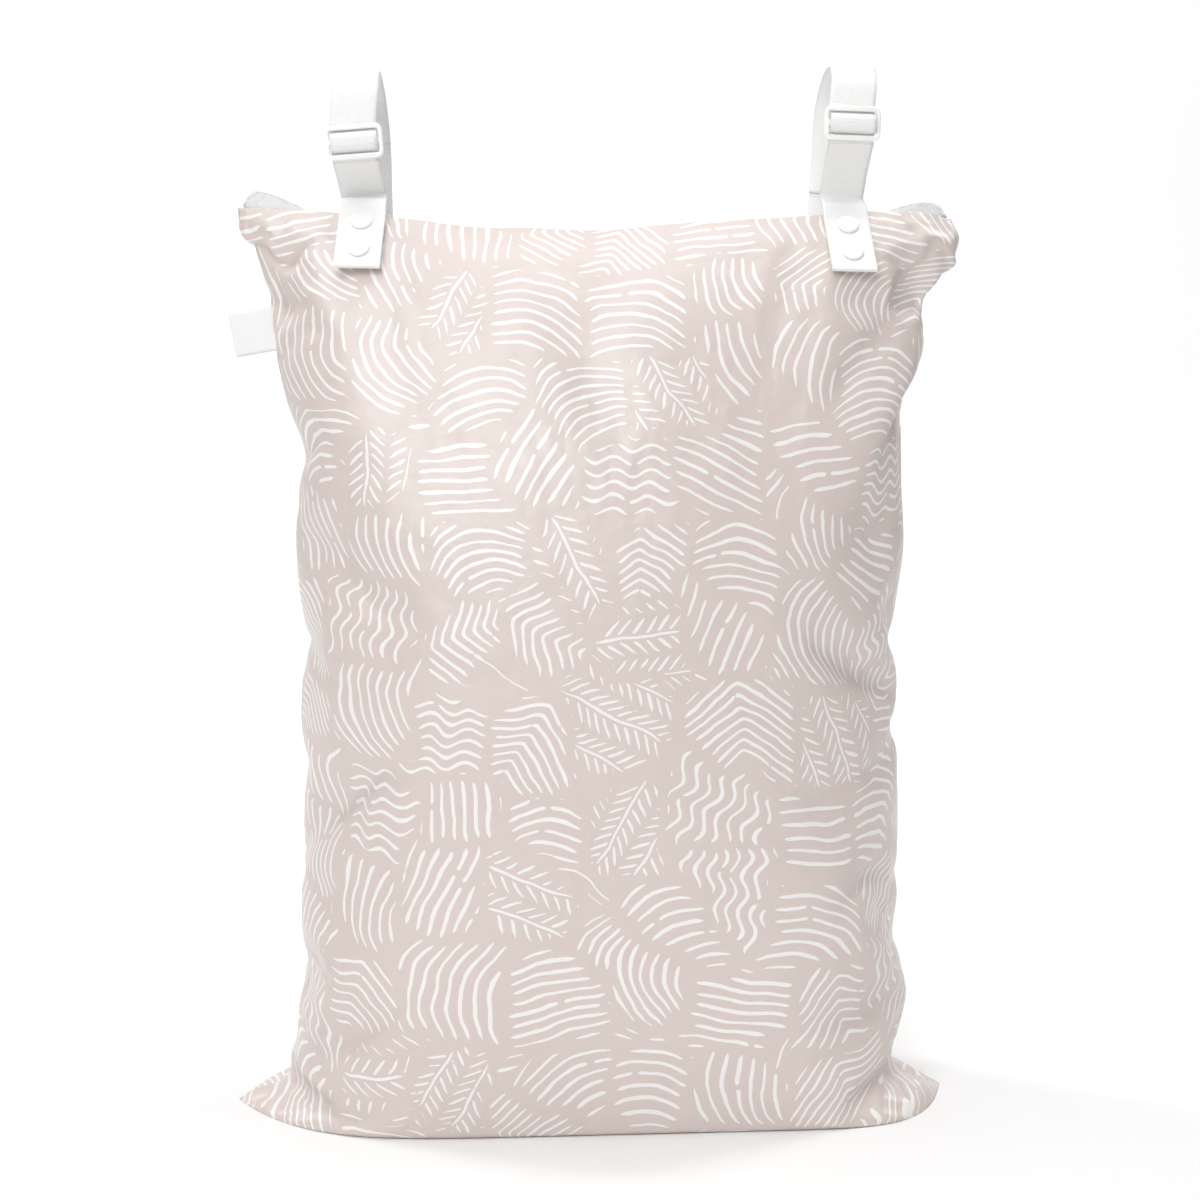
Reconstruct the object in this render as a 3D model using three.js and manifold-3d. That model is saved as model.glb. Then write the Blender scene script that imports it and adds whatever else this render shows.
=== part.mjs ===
// A zipped bag of coated cloth for wet laundry, stuffed like a pillow and standing upright on its bottom.
// Two panels are sewn together down the sides and along the bottom. The bottom is folded under and lies
// flat, with its two corners lying out as triangular ears. A zip closes the top. Two webbing straps are
// sewn to the back, loop over the top, run down through a slide buckle and snap on to the front.
//
// Millimetres, +Z up. The bag stands on the plane z = 0, its front faces -Y and its width runs along X.
// The origin is on that plane, in the middle of the bottom seam.

import * as THREE from 'three';
import { mergeVertices } from 'three/addons/utils/BufferGeometryUtils.js';
import Module from 'manifold-3d';

const wasm = await Module();
wasm.setup();

// Sizes of the bag
const FLAT_WIDTH = 406; // a panel's width between its side seams, lying flat
const TOP_HEIGHT = 490; // the panels' top edge, at mid width
const BODY_DEPTH = 170; // the stuffed bag from front to back
const BASE_DEPTH = 152; // what lies on the floor, from front to back
const MOUTH_GAP = 24; // between the panels' top edges, which the zip fills
const CORNER_LIFT = 12; // how much higher the top edge is at the corners
const EAR_HEIGHT = 14; // the ears' thickness where they leave the body
const CLOTH = 1.4; // the wall, with its coating
const SEAM_GAP = 0.3; // between pieces that touch

// Sizes of the zip
const TEETH_WIDTH = 5;
const TEETH_THICKNESS = 1.8;
const TAPE_THICKNESS = 0.9;
const ZIP_SAG = 1.4; // how far the teeth hang below the top edge at mid width
const ZIP_RISE_LEFT = 9.5; // how far they stand above it at the left corner
const ZIP_RISE_RIGHT = 6.5;
const ZIP_CORNER = 0.76; // where they start to rise, as a share of half the bag's width
const ZIP_END = 6; // from the side seam to the end of the zip
const SLIDER_SHARE = -0.69; // the slider's place, as a share of half the bag's width
const SLIDER_LENGTH = 11;
const SLIDER_WIDTH = 7;
const SLIDER_PLATE = 1.6;
const SLIDER_NARROW = 0.75; // its narrow end, as a share of its width
const BRIDGE_WIDTH = 2.2;
const BRIDGE_LEG = 1.3;
const BRIDGE_ROOM = 0.4; // round the pull's bar
const PULL_LENGTH = 22;
const PULL_WIDTH = 7;
const PULL_THICKNESS = 1.2;
const PULL_CORNER = 2;

// Sizes of the label
const LABEL_WIDTH = 24;
const LABEL_HEIGHT = 25;
const LABEL_THICKNESS = 0.9;
const LABEL_UP = 0.878; // its middle, as a share of the top height

// Sizes of the straps
const WEBBING_WIDTH = 25;
const WEBBING = 1.2; // the webbing's thickness
const LOOP_RISE = 90; // a strap's crown above the panels' top edge at mid width
const LOOP_DEPTH = 61; // from the loop's front run to its back run
const ANCHOR_LENGTH = 24; // the stretch that is sewn to the back panel
const TAB_LENGTH = 48;
const TAB_THICKNESS = 2.4;
const TAB_LAYER = 1.1; // each layer round the webbing's sewn-in end
const TAB_POCKET = 6; // how deep that end goes in
const SNAP_CAP_RADIUS = 6.2;
const SNAP_CAP_HEIGHT = 1.5;
const SNAP_POST_RADIUS = 2.2;
const SNAP_SOCKET_RADIUS = 5;
const SNAP_SOCKET_HEIGHT = 1.8;
const SNAP_STUD_HEIGHT = 0.8;
const SNAP_NUB_HEIGHT = 1;
const SNAP_LOW = 12.5; // the lower snap, from the tab's bottom edge
const SNAP_PITCH = 20;
const SNAP_FIT = 0.4; // round the post, and round the nub in its socket
const BUCKLE_HEIGHT = 18.8;
const BUCKLE_SIDE = 2.5; // the width of its side bars
const BUCKLE_BAR = 3; // the height of its three cross bars
const BUCKLE_THICKNESS = 2.5;
const BUCKLE_ROOM = 0.5; // beside the webbing
const BUCKLE_CORNER = 4;
const BUCKLE_SLOT_CORNER = 0.8;

const COLOURS = { cloth: 0xdccfca, tape: 0xf4f4f6, webbing: 0xf3f3f1, tab: 0xf6f6f5, plastic: 0xf8f8f6 };

// The outline of the bag at each height, seen from above.
// rise: share of the ears' height, then of the rest of the height. left, right: shares of half the flat
// width. bulge: share of the way from a straight side to the full depth. square, round: the outline's
// exponents. lift: share of the corners' lift.
const EAR_ROWS = [
  { rise: 0.0, left: 1.01, right: 0.99, bulge: 0.0, square: 5.5, round: 1.0, lift: 0 },
  { rise: 0.15, left: 0.997, right: 0.975, bulge: 0.05, square: 5.4, round: 1.03, lift: 0 },
  { rise: 0.36, left: 0.965, right: 0.926, bulge: 0.12, square: 5.3, round: 1.1, lift: 0 },
  { rise: 0.64, left: 0.899, right: 0.868, bulge: 0.2, square: 5.2, round: 1.25, lift: 0 },
];
const BODY_ROWS = [
  { rise: 0.0, left: 0.872, right: 0.848, bulge: 0.26, square: 5.0, round: 1.4, lift: 0 },
  { rise: 0.021, left: 0.864, right: 0.846, bulge: 0.38, square: 4.6, round: 1.6, lift: 0 },
  { rise: 0.046, left: 0.84, right: 0.854, bulge: 0.52, square: 4.0, round: 1.75, lift: 0 },
  { rise: 0.086, left: 0.83, right: 0.861, bulge: 0.7, square: 3.4, round: 1.9, lift: 0 },
  { rise: 0.16, left: 0.824, right: 0.859, bulge: 0.88, square: 2.8, round: 2.0, lift: 0 },
  { rise: 0.265, left: 0.817, right: 0.852, bulge: 0.98, square: 2.4, round: 2.0, lift: 0 },
  { rise: 0.391, left: 0.811, right: 0.838, bulge: 1.02, square: 2.2, round: 2.0, lift: 0 },
  { rise: 0.517, left: 0.811, right: 0.835, bulge: 1.0, square: 2.2, round: 2.0, lift: 0 },
  { rise: 0.632, left: 0.82, right: 0.844, bulge: 0.95, square: 2.2, round: 2.0, lift: 0 },
  { rise: 0.727, left: 0.832, right: 0.872, bulge: 0.87, square: 2.2, round: 1.95, lift: 0.08 },
  { rise: 0.8, left: 0.86, right: 0.889, bulge: 0.77, square: 2.2, round: 1.9, lift: 0.28 },
  { rise: 0.863, left: 0.884, right: 0.901, bulge: 0.65, square: 2.2, round: 1.85, lift: 0.52 },
  { rise: 0.903, left: 0.906, right: 0.908, bulge: 0.54, square: 2.3, round: 1.8, lift: 0.7 },
  { rise: 0.926, left: 0.921, right: 0.953, bulge: 0.45, square: 2.3, round: 1.8, lift: 0.8 },
  { rise: 0.952, left: 0.946, right: 1.003, bulge: 0.31, square: 2.4, round: 1.8, lift: 0.9 },
  { rise: 0.978, left: 0.985, right: 1.017, bulge: 0.15, square: 2.4, round: 1.9, lift: 1 },
  { rise: 1.0, left: 0.98, right: 0.99, bulge: 0.0, square: 2.5, round: 2.0, lift: 1 },
];

// The main creases and dents. panel: -1 the front, 1 the back. across: share of half the flat width. up:
// share of the top height. turn: degrees from level in that panel's front view. length, width, depth:
// shares of the body's depth, with a negative depth for a swelling.
const FOLDS = [
  { panel: -1, across: -0.92, up: 0.975, turn: -30, length: 0.2, width: 0.035, depth: 0.035 },
  { panel: -1, across: -0.84, up: 0.966, turn: 15, length: 0.07, width: 0.035, depth: 0.025 },
  { panel: -1, across: -0.9, up: 0.925, turn: -58, length: 0.16, width: 0.05, depth: 0.03 },
  { panel: -1, across: 0.89, up: 0.967, turn: 12, length: 0.15, width: 0.04, depth: 0.045 },
  { panel: -1, across: 0.86, up: 0.935, turn: 55, length: 0.13, width: 0.05, depth: 0.035 },
  { panel: -1, across: 0.76, up: 0.6, turn: -62, length: 0.38, width: 0.08, depth: 0.03 },
  { panel: -1, across: 0.62, up: 0.53, turn: -42, length: 0.34, width: 0.09, depth: 0.026 },
  { panel: -1, across: -0.62, up: 0.61, turn: -50, length: 0.3, width: 0.09, depth: 0.026 },
  { panel: -1, across: -0.72, up: 0.36, turn: 48, length: 0.3, width: 0.08, depth: 0.024 },
  { panel: -1, across: 0.0, up: 0.93, turn: 80, length: 0.2, width: 0.09, depth: 0.016 },
  { panel: -1, across: -0.74, up: 0.024, turn: -32, length: 0.11, width: 0.03, depth: 0.024 },
  { panel: -1, across: 0.71, up: 0.03, turn: 36, length: 0.16, width: 0.04, depth: 0.03 },
  { panel: 1, across: -0.9, up: 0.96, turn: -24, length: 0.18, width: 0.045, depth: 0.035 },
  { panel: 1, across: 0.9, up: 0.955, turn: 28, length: 0.18, width: 0.045, depth: 0.035 },
  { panel: 1, across: 0.66, up: 0.62, turn: -50, length: 0.34, width: 0.09, depth: 0.026 },
  { panel: 1, across: -0.7, up: 0.5, turn: 52, length: 0.36, width: 0.09, depth: 0.028 },
  { panel: 1, across: 0.72, up: 0.04, turn: 34, length: 0.14, width: 0.04, depth: 0.026 },
  { panel: 1, across: -0.72, up: 0.035, turn: -34, length: 0.14, width: 0.04, depth: 0.026 },
];

// The straps. lanes: where a strap runs across the bag, at its tab, buckle, crown, back run and anchor, as
// shares of half the flat width. crown, buckle, tailEnd: heights, as shares of the loop's rise. The rolls
// are how far the webbing leans, in degrees. tabHeight and anchorHeight: shares of the top height.
const STRAPS = [
  {
    name: 'left', lanes: [-0.636, -0.655, -0.651, -0.629, -0.622], tabLane: -0.642, tabHeight: 0.984,
    anchorHeight: 0.954, crown: 0.972, buckle: 0.489, tailEnd: 0.567,
    tabRoll: 3.6, buckleRoll: 5, crownRoll: -3,
  },
  {
    name: 'right', lanes: [0.676, 0.677, 0.699, 0.684, 0.662], tabLane: 0.68, tabHeight: 0.984,
    anchorHeight: 0.954, crown: 1.03, buckle: 0.633, tailEnd: 0.289,
    tabRoll: -1.3, buckleRoll: -1.5, crownRoll: 0,
  },
];

// A loop seen from the side. lane: place in the strap's list of lanes. out: share of half the loop's depth,
// negative at the front. rise: share of the height from the stretch's lower end to its upper end.
const NECK_ROWS = [
  { lane: 0.0, out: -0.16, rise: 0.11 },
  { lane: 0.2, out: -0.24, rise: 0.24 },
  { lane: 0.5, out: -0.5, rise: 0.45 },
];
const CROWN_ROWS = [
  { lane: 1.5, out: -0.87, rise: 0.66 },
  { lane: 1.8, out: -0.5, rise: 0.91 },
  { lane: 2.0, out: 0.0, rise: 1.0 },
];
const BACK_ROWS = [
  { lane: 2.2, out: 0.47, rise: 0.96 },
  { lane: 2.5, out: 0.79, rise: 0.87 },
  { lane: 2.8, out: 0.95, rise: 0.74 },
  { lane: 3.0, out: 0.98, rise: 0.58 },
  { lane: 3.3, out: 0.92, rise: 0.4 },
  { lane: 3.6, out: 0.82, rise: 0.23 },
  { lane: 3.8, out: 0.74, rise: 0.11 },
];
const BUCKLE_OUT = -1.02; // the loop's foremost stretch, as a share of half its depth

// The webbing's way through the buckle. out: away from the loop, as a share of the way from behind the bars
// to the front of them. up: along the strap from the buckle's middle, as a share of half its height.
const MAIN_THREADING = [
  { out: -0.023, up: -0.894 },
  { out: 0.0, up: -0.681 },
  { out: 0.244, up: -0.543 },
  { out: 0.64, up: -0.484 },
  { out: 1.081, up: -0.404 },
  { out: 1.372, up: -0.223 },
  { out: 1.43, up: 0.0 },
  { out: 1.372, up: 0.223 },
  { out: 1.081, up: 0.404 },
  { out: 0.64, up: 0.484 },
  { out: 0.244, up: 0.543 },
  { out: 0.0, up: 0.681 },
  { out: -0.023, up: 0.894 },
];
const TAIL_THREADING = [
  { out: -0.744, up: 1.011 },
  { out: -0.733, up: 0.66 },
  { out: -0.581, up: 0.404 },
  { out: -0.279, up: 0.191 },
  { out: -0.07, up: 0.0 },
  { out: 0.035, up: -0.223 },
  { out: 0.5, up: -0.303 },
  { out: 0.953, up: -0.218 },
  { out: 1.035, up: 0.0 },
  { out: 0.953, up: 0.218 },
  { out: 0.512, up: 0.303 },
  { out: 0.047, up: 0.383 },
  { out: -0.314, up: 0.564 },
  { out: -0.372, up: 0.851 },
];

const HALF_WIDTH = FLAT_WIDTH / 2;

// Numbers between the rows of a table, on a smooth curve that doesn't overshoot.
const ROWS = [
  ...EAR_ROWS.map((row) => ({ ...row, z: row.rise * EAR_HEIGHT })),
  ...BODY_ROWS.map((row) => ({ ...row, z: EAR_HEIGHT + row.rise * (TOP_HEIGHT - EAR_HEIGHT) })),
];

function steepness(column, index) {
  const before = ROWS[index - 1];
  const here = ROWS[index];
  const after = ROWS[index + 1];
  if (!before || !after) {
    const [low, high] = before ? [before, here] : [here, after];
    return (high[column] - low[column]) / (high.z - low.z);
  }
  const below = (here[column] - before[column]) / (here.z - before.z);
  const above = (after[column] - here[column]) / (after.z - here.z);
  return below * above > 0 ? (2 * below * above) / (below + above) : 0;
}

function rowValue(column, z) {
  let index = ROWS.findIndex((row) => row.z > z) - 1;
  if (index < 0) index = z < ROWS[0].z + 1 ? 0 : ROWS.length - 2;
  const low = ROWS[index];
  const high = ROWS[index + 1];
  const span = high.z - low.z;
  const t = THREE.MathUtils.clamp((z - low.z) / span, 0, 1);
  const ends = (1 + 2 * t) * (1 - t) ** 2 * low[column] + t * t * (3 - 2 * t) * high[column];
  const lowSlope = t * (1 - t) ** 2 * steepness(column, index);
  const highSlope = t * t * (1 - t) * steepness(column, index + 1);
  return ends + (lowSlope - highSlope) * span;
}

function halfDepth(z) {
  const straight = THREE.MathUtils.lerp(BASE_DEPTH / 2, MOUTH_GAP / 2, z / TOP_HEIGHT);
  return straight + rowValue('bulge', z) * (BODY_DEPTH / 2 - straight);
}

function halfWidth(z, share) {
  return HALF_WIDTH * rowValue(share < 0 ? 'left' : 'right', z);
}

// How much wider a level slice cuts a wall that leans at this height.
function slant(width, z) {
  const step = 1;
  const low = Math.max(z - step, 0);
  const high = Math.min(z + step, TOP_HEIGHT);
  return Math.hypot(1, (width(high) - width(low)) / (high - low));
}

// A point of a panel's outer face, or with an inset of its inner face. share runs from -1 at the left seam
// to 1 at the right seam.
function smoothPoint(panel, share, z, inset = 0) {
  const widthHere = (height) => halfWidth(height, share);
  const width = widthHere(z) - inset * slant(widthHere, z);
  const depth = halfDepth(z) - inset * slant(halfDepth, z);
  const outline = (1 - Math.abs(share) ** rowValue('square', z)) ** (1 / rowValue('round', z));
  const out = SEAM_GAP / 2 + (depth - SEAM_GAP / 2) * outline;
  const lift = CORNER_LIFT * rowValue('lift', z) * share * share;
  return new THREE.Vector3(width * share, panel * out, z + lift);
}

function outward(panel, share, z) {
  const step = 0.01;
  const inner = THREE.MathUtils.clamp(share, -1 + step, 1 - step);
  const height = THREE.MathUtils.clamp(z, 1, TOP_HEIGHT - 1);
  const across = smoothPoint(panel, inner + step, height).sub(smoothPoint(panel, inner - step, height));
  const up = smoothPoint(panel, inner, height + 1).sub(smoothPoint(panel, inner, height - 1));
  return across.cross(up).multiplyScalar(-panel).normalize();
}

function foldDepth(panel, x, z) {
  let sum = 0;
  for (const fold of FOLDS.filter((row) => row.panel === panel)) {
    const turn = THREE.MathUtils.degToRad(fold.turn);
    const dx = x - fold.across * HALF_WIDTH;
    const dz = z - fold.up * TOP_HEIGHT;
    const along = (dx * Math.cos(turn) + dz * Math.sin(turn)) / (fold.length * BODY_DEPTH);
    const beside = (dz * Math.cos(turn) - dx * Math.sin(turn)) / (fold.width * BODY_DEPTH);
    const fade = Math.max(0, 1 - along * along);
    sum += fold.depth * BODY_DEPTH * Math.exp(-beside * beside) * fade * fade;
  }
  return sum;
}

// Folds fade out at the seams, at the top edge and on the floor, where the panels meet other things.
const SEAM_FADE = 0.03; // as a share of half the bag's width
function foldShift(panel, share, z) {
  const point = smoothPoint(panel, share, z);
  const seam = Math.min(1, (1 - Math.abs(share)) / SEAM_FADE);
  const floor = Math.min(1, z / EAR_HEIGHT);
  const top = Math.min(1, (TOP_HEIGHT - z) / (2 * MOUTH_GAP));
  return outward(panel, share, z).multiplyScalar(-foldDepth(panel, point.x, point.z) * seam * floor * top);
}

function panelPoint(panel, share, z, inset = 0) {
  return smoothPoint(panel, share, z, inset).add(foldShift(panel, share, z));
}

// Closes two grids of points, the outer and the inner face of a sheet, into one body.
function sheetGeometry(outer, inner, flip) {
  const places = new Map();
  const positions = [];
  const faces = [];
  const vertex = (point) => {
    const key = point.toArray().map((value) => Math.round(value * 1000)).join();
    if (!places.has(key)) {
      places.set(key, positions.length / 3);
      positions.push(...point.toArray());
    }
    return places.get(key);
  };
  const triangle = (a, b, c) => {
    if (a === b || b === c || a === c) return;
    faces.push(...(flip ? [a, c, b] : [a, b, c]));
  };
  const quad = (a, b, c, d) => {
    const [p, q, r, s] = [a, b, c, d].map(vertex);
    triangle(p, q, r);
    triangle(p, r, s);
  };
  const rows = outer.length;
  const columns = outer[0].length;
  for (let row = 0; row + 1 < rows; row++) {
    for (let column = 0; column + 1 < columns; column++) {
      const corners = (grid) => [
        grid[row][column], grid[row][column + 1], grid[row + 1][column + 1], grid[row + 1][column],
      ];
      quad(...corners(outer));
      quad(...corners(inner).reverse());
    }
    quad(outer[row][0], outer[row + 1][0], inner[row + 1][0], inner[row][0]);
    const last = columns - 1;
    quad(inner[row][last], inner[row + 1][last], outer[row + 1][last], outer[row][last]);
  }
  for (let column = 0; column + 1 < columns; column++) {
    const end = rows - 1;
    quad(inner[0][column], inner[0][column + 1], outer[0][column + 1], outer[0][column]);
    quad(outer[end][column], outer[end][column + 1], inner[end][column + 1], inner[end][column]);
  }
  const geometry = new THREE.BufferGeometry();
  geometry.setAttribute('position', new THREE.Float32BufferAttribute(positions, 3));
  geometry.setIndex(faces);
  return geometry;
}

// The heights and shares at which the panels are divided, closer where they curve more.
const COLUMNS = 26;
const LONGEST_STEP = 32;
const quarterTurn = Math.PI / 2;
const spaced = (_, i) => Math.sin(quarterTurn * ((2 * i) / COLUMNS - 1));
const shares = Array.from({ length: COLUMNS + 1 }, spaced);
const heights = ROWS.flatMap((row, i) => {
  const next = ROWS[i + 1];
  const halfWay = next && next.z - row.z > LONGEST_STEP ? [(row.z + next.z) / 2] : [];
  return [row.z, ...halfWay];
});

// The floor part runs from the bottom seam out to the front or back edge of what lies on the floor.
function panelFace(panel, inset) {
  const innerHeight = (z) => inset + z * (1 - inset / TOP_HEIGHT);
  const rise = (share, z) => panelPoint(panel, share, inset ? innerHeight(z) : z, inset);
  const edge = shares.map((share) => rise(share, 0));
  const floorRows = [0, 0.5].map((part) =>
    edge.map((point) => point.clone().setY(THREE.MathUtils.lerp((panel * SEAM_GAP) / 2, point.y, part)))
  );
  return [...floorRows, ...heights.map((z) => shares.map((share) => rise(share, z)))];
}

function panelGeometry(panel) {
  return sheetGeometry(panelFace(panel, 0), panelFace(panel, CLOTH), panel > 0);
}

// Joins rings of points, each with the same number, into one body with flat ends.
function loftGeometry(rings) {
  const count = rings[0].length;
  const positions = rings.flat().flatMap((point) => point.toArray());
  const faces = [];
  for (let ring = 0; ring + 1 < rings.length; ring++) {
    for (let i = 0; i < count; i++) {
      const a = ring * count + i;
      const b = ring * count + ((i + 1) % count);
      // Opposite faces of a twisted strip are split along like diagonals, so that its layers stay apart.
      if (i < count / 2) faces.push(a, b, b + count, a, b + count, a + count);
      else faces.push(a, b, a + count, b, b + count, a + count);
    }
  }
  const last = (rings.length - 1) * count;
  for (let i = 1; i + 1 < count; i++) {
    faces.push(0, i + 1, i, last, last + i, last + i + 1);
  }
  const geometry = new THREE.BufferGeometry();
  geometry.setAttribute('position', new THREE.Float32BufferAttribute(positions, 3));
  geometry.setIndex(faces);
  return geometry;
}

function slab(centre, side, normal, width, thickness) {
  const corner = (a, b) =>
    centre.clone().addScaledVector(side, (a * width) / 2).addScaledVector(normal, (b * thickness) / 2);
  return [corner(-1, -1), corner(1, -1), corner(1, 1), corner(-1, 1)];
}

function toSolid(geometry) {
  const bare = geometry.clone();
  bare.deleteAttribute('normal');
  bare.deleteAttribute('uv');
  const merged = mergeVertices(bare, 1e-4);
  return new wasm.Manifold(
    new wasm.Mesh({
      numProp: 3,
      vertProperties: new Float32Array(merged.attributes.position.array),
      triVerts: new Uint32Array(merged.index.array),
    })
  );
}

function toGeometry(solid) {
  const mesh = solid.getMesh();
  const geometry = new THREE.BufferGeometry();
  geometry.setAttribute('position', new THREE.Float32BufferAttribute(mesh.vertProperties, 3));
  geometry.setIndex(Array.from(mesh.triVerts));
  return geometry;
}

const bag = new THREE.Group();

function add(name, geometry, colour, roughness) {
  const material = new THREE.MeshStandardMaterial({ color: colour, roughness, metalness: 0 });
  const mesh = new THREE.Mesh(geometry, material);
  mesh.name = name;
  bag.add(mesh);
  return mesh;
}

// Cloth panels
add('front_panel', panelGeometry(-1), COLOURS.cloth, 0.42);
add('back_panel', panelGeometry(1), COLOURS.cloth, 0.42);

// The zip lies between the panels' top edges. It sags in the middle and stands up at the corners.
function topEdge(panel, share) {
  return smoothPoint(panel, share, TOP_HEIGHT);
}

function zipLine(share) {
  const edge = topEdge(-1, share);
  const cornered = THREE.MathUtils.smoothstep(Math.abs(share), ZIP_CORNER, 1);
  const rise = share < 0 ? ZIP_RISE_LEFT : ZIP_RISE_RIGHT;
  return new THREE.Vector3(edge.x, 0, edge.z + THREE.MathUtils.lerp(-ZIP_SAG, rise, cornered));
}

const zipEnd = 1 - ZIP_END / HALF_WIDTH;
const SHORTEST_STEP = 0.01; // between the zip's shares
const innerShares = shares.filter((share) => Math.abs(share) < zipEnd - SHORTEST_STEP);
const zipShares = [-zipEnd, ...innerShares, zipEnd];

function tapeGeometry(panel) {
  const rings = zipShares.map((share) => {
    const edge = topEdge(panel, share);
    const middle = zipLine(share);
    const low = edge.clone();
    low.y -= panel * (CLOTH / 2);
    low.z += 2 * SEAM_GAP + TAPE_THICKNESS;
    const high = middle.clone();
    high.y = panel * (TEETH_WIDTH / 2 + SEAM_GAP + TAPE_THICKNESS / 2);
    const rise = high.clone().sub(low);
    const normal = new THREE.Vector3(0, -rise.z, rise.y).normalize();
    if (normal.z < 0) normal.negate();
    const side = new THREE.Vector3(0, rise.y, rise.z).normalize();
    const centre = low.clone().add(high).multiplyScalar(0.5);
    const ring = slab(centre, side, normal, Math.hypot(rise.y, rise.z), TAPE_THICKNESS);
    return panel < 0 ? ring : ring.reverse();
  });
  return loftGeometry(rings);
}

const SIDEWAYS = new THREE.Vector3(0, 1, 0);
const UP = new THREE.Vector3(0, 0, 1);
add('zipper_tape_front', tapeGeometry(-1), COLOURS.tape, 0.8);
add('zipper_tape_back', tapeGeometry(1), COLOURS.tape, 0.8);
const teethSlab = (share) => slab(zipLine(share), SIDEWAYS, UP, TEETH_WIDTH, TEETH_THICKNESS);
add('zipper_teeth', loftGeometry(zipShares.map(teethSlab)), COLOURS.plastic, 0.4);

// The slider sits closed near the left end, with its pull lying along the teeth.
const BRIDGE_HOLE = PULL_THICKNESS + 2 * BRIDGE_ROOM;

function plate(points, holes, thickness) {
  const shape = new THREE.Shape(points.map(([x, y]) => new THREE.Vector2(x, y)));
  shape.holes = holes.map((hole) => new THREE.Path(hole.map(([x, y]) => new THREE.Vector2(x, y))));
  return new THREE.ExtrudeGeometry(shape, { depth: thickness, bevelEnabled: false });
}

function rectangle(x0, y0, x1, y1) {
  return [[x0, y0], [x1, y0], [x1, y1], [x0, y1]];
}

function sliderGeometry() {
  const half = SLIDER_LENGTH / 2;
  const wide = SLIDER_WIDTH / 2;
  const narrow = wide * SLIDER_NARROW;
  const outline = [[-half, -narrow], [half, -wide], [half, wide], [-half, narrow]];
  const body = plate(outline, [], SLIDER_PLATE);
  const reach = 2 * BRIDGE_LEG;
  const top = BRIDGE_HOLE + BRIDGE_LEG;
  const bridge = plate(
    [[-reach, -SLIDER_PLATE / 2], [reach, -SLIDER_PLATE / 2], [reach, top], [-reach, top]],
    [rectangle(-reach + BRIDGE_LEG, 0, reach - BRIDGE_LEG, BRIDGE_HOLE)],
    BRIDGE_WIDTH
  );
  bridge.rotateX(Math.PI / 2).translate(0, BRIDGE_WIDTH / 2, SLIDER_PLATE);
  return toGeometry(toSolid(body).add(toSolid(bridge)));
}

function pullGeometry() {
  const wide = PULL_WIDTH / 2;
  const bar = PULL_THICKNESS / 2;
  const slotEnd = 2 * BRIDGE_LEG + 2 * BRIDGE_ROOM;
  const slotHalf = BRIDGE_WIDTH / 2 + BRIDGE_ROOM;
  const end = PULL_LENGTH - bar;
  const straight = end - PULL_CORNER;
  const narrow = wide - PULL_CORNER;
  const outline = [
    [-bar, -wide], [straight, -wide], [end, -narrow], [end, narrow], [straight, wide], [-bar, wide],
  ];
  return plate(outline, [rectangle(bar, -slotHalf, slotEnd, slotHalf)], PULL_THICKNESS);
}

const sliderSeat = zipLine(SLIDER_SHARE).add(new THREE.Vector3(0, 0, TEETH_THICKNESS / 2 + SEAM_GAP));
const halfSlider = SLIDER_LENGTH / FLAT_WIDTH;
const zipSlope = zipLine(SLIDER_SHARE + halfSlider).sub(zipLine(SLIDER_SHARE - halfSlider));
const sliderTilt = -Math.atan2(zipSlope.z, zipSlope.x);
const slider = add('zipper_slider', sliderGeometry(), COLOURS.plastic, 0.35);
slider.position.copy(sliderSeat);
slider.rotation.y = sliderTilt;
const pullShape = pullGeometry().translate(0, 0, SLIDER_PLATE + BRIDGE_ROOM);
const pull = add('zipper_pull', pullShape, COLOURS.plastic, 0.35);
pull.position.copy(sliderSeat);
pull.rotation.y = sliderTilt;

// The label is caught in the left side seam and stands out square to it.
const halfLabel = LABEL_HEIGHT / 2;
const seamLow = smoothPoint(-1, -1, LABEL_UP * TOP_HEIGHT - halfLabel);
const seamHigh = smoothPoint(-1, -1, LABEL_UP * TOP_HEIGHT + halfLabel);
const seamUp = seamHigh.clone().sub(seamLow).setY(0).normalize();
const seamOut = new THREE.Vector3(-seamUp.z, 0, seamUp.x);
const labelCentre = seamLow.clone().add(seamHigh).multiplyScalar(0.5).setY(0);
labelCentre.addScaledVector(seamOut, SEAM_GAP * 2 + LABEL_WIDTH / 2);
const labelEnds = [-1, 1].map((end) => labelCentre.clone().addScaledVector(seamUp, end * halfLabel));
const labelRings = labelEnds.map((end) => slab(end, SIDEWAYS, seamOut, LABEL_THICKNESS, LABEL_WIDTH));
add('side_label', loftGeometry(labelRings), COLOURS.tape, 0.7);

// A flat seat on a panel: its middle, and the directions up the panel, along X and away from it.
function seatOn(panel, lane, up, roll) {
  const x = lane * HALF_WIDTH;
  const goal = up * TOP_HEIGHT;
  let z = goal;
  let share = 0;
  for (let pass = 0; pass < 12; pass++) {
    share = x / halfWidth(z, x);
    z += goal - smoothPoint(panel, share, z).z;
  }
  const out = outward(panel, share, z);
  const side = new THREE.Vector3(1, 0, 0).addScaledVector(out, -out.x).normalize();
  const upward = new THREE.Vector3().crossVectors(side, out).multiplyScalar(-panel).normalize();
  if (upward.z < 0) upward.negate();
  const turn = new THREE.Quaternion().setFromAxisAngle(out, THREE.MathUtils.degToRad(roll * panel));
  return {
    middle: smoothPoint(panel, share, z),
    up: upward.applyQuaternion(turn),
    side: side.applyQuaternion(turn),
    out,
  };
}

function at(frame, up, out) {
  return frame.middle.clone().addScaledVector(frame.up, up).addScaledVector(frame.out, out);
}

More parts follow.
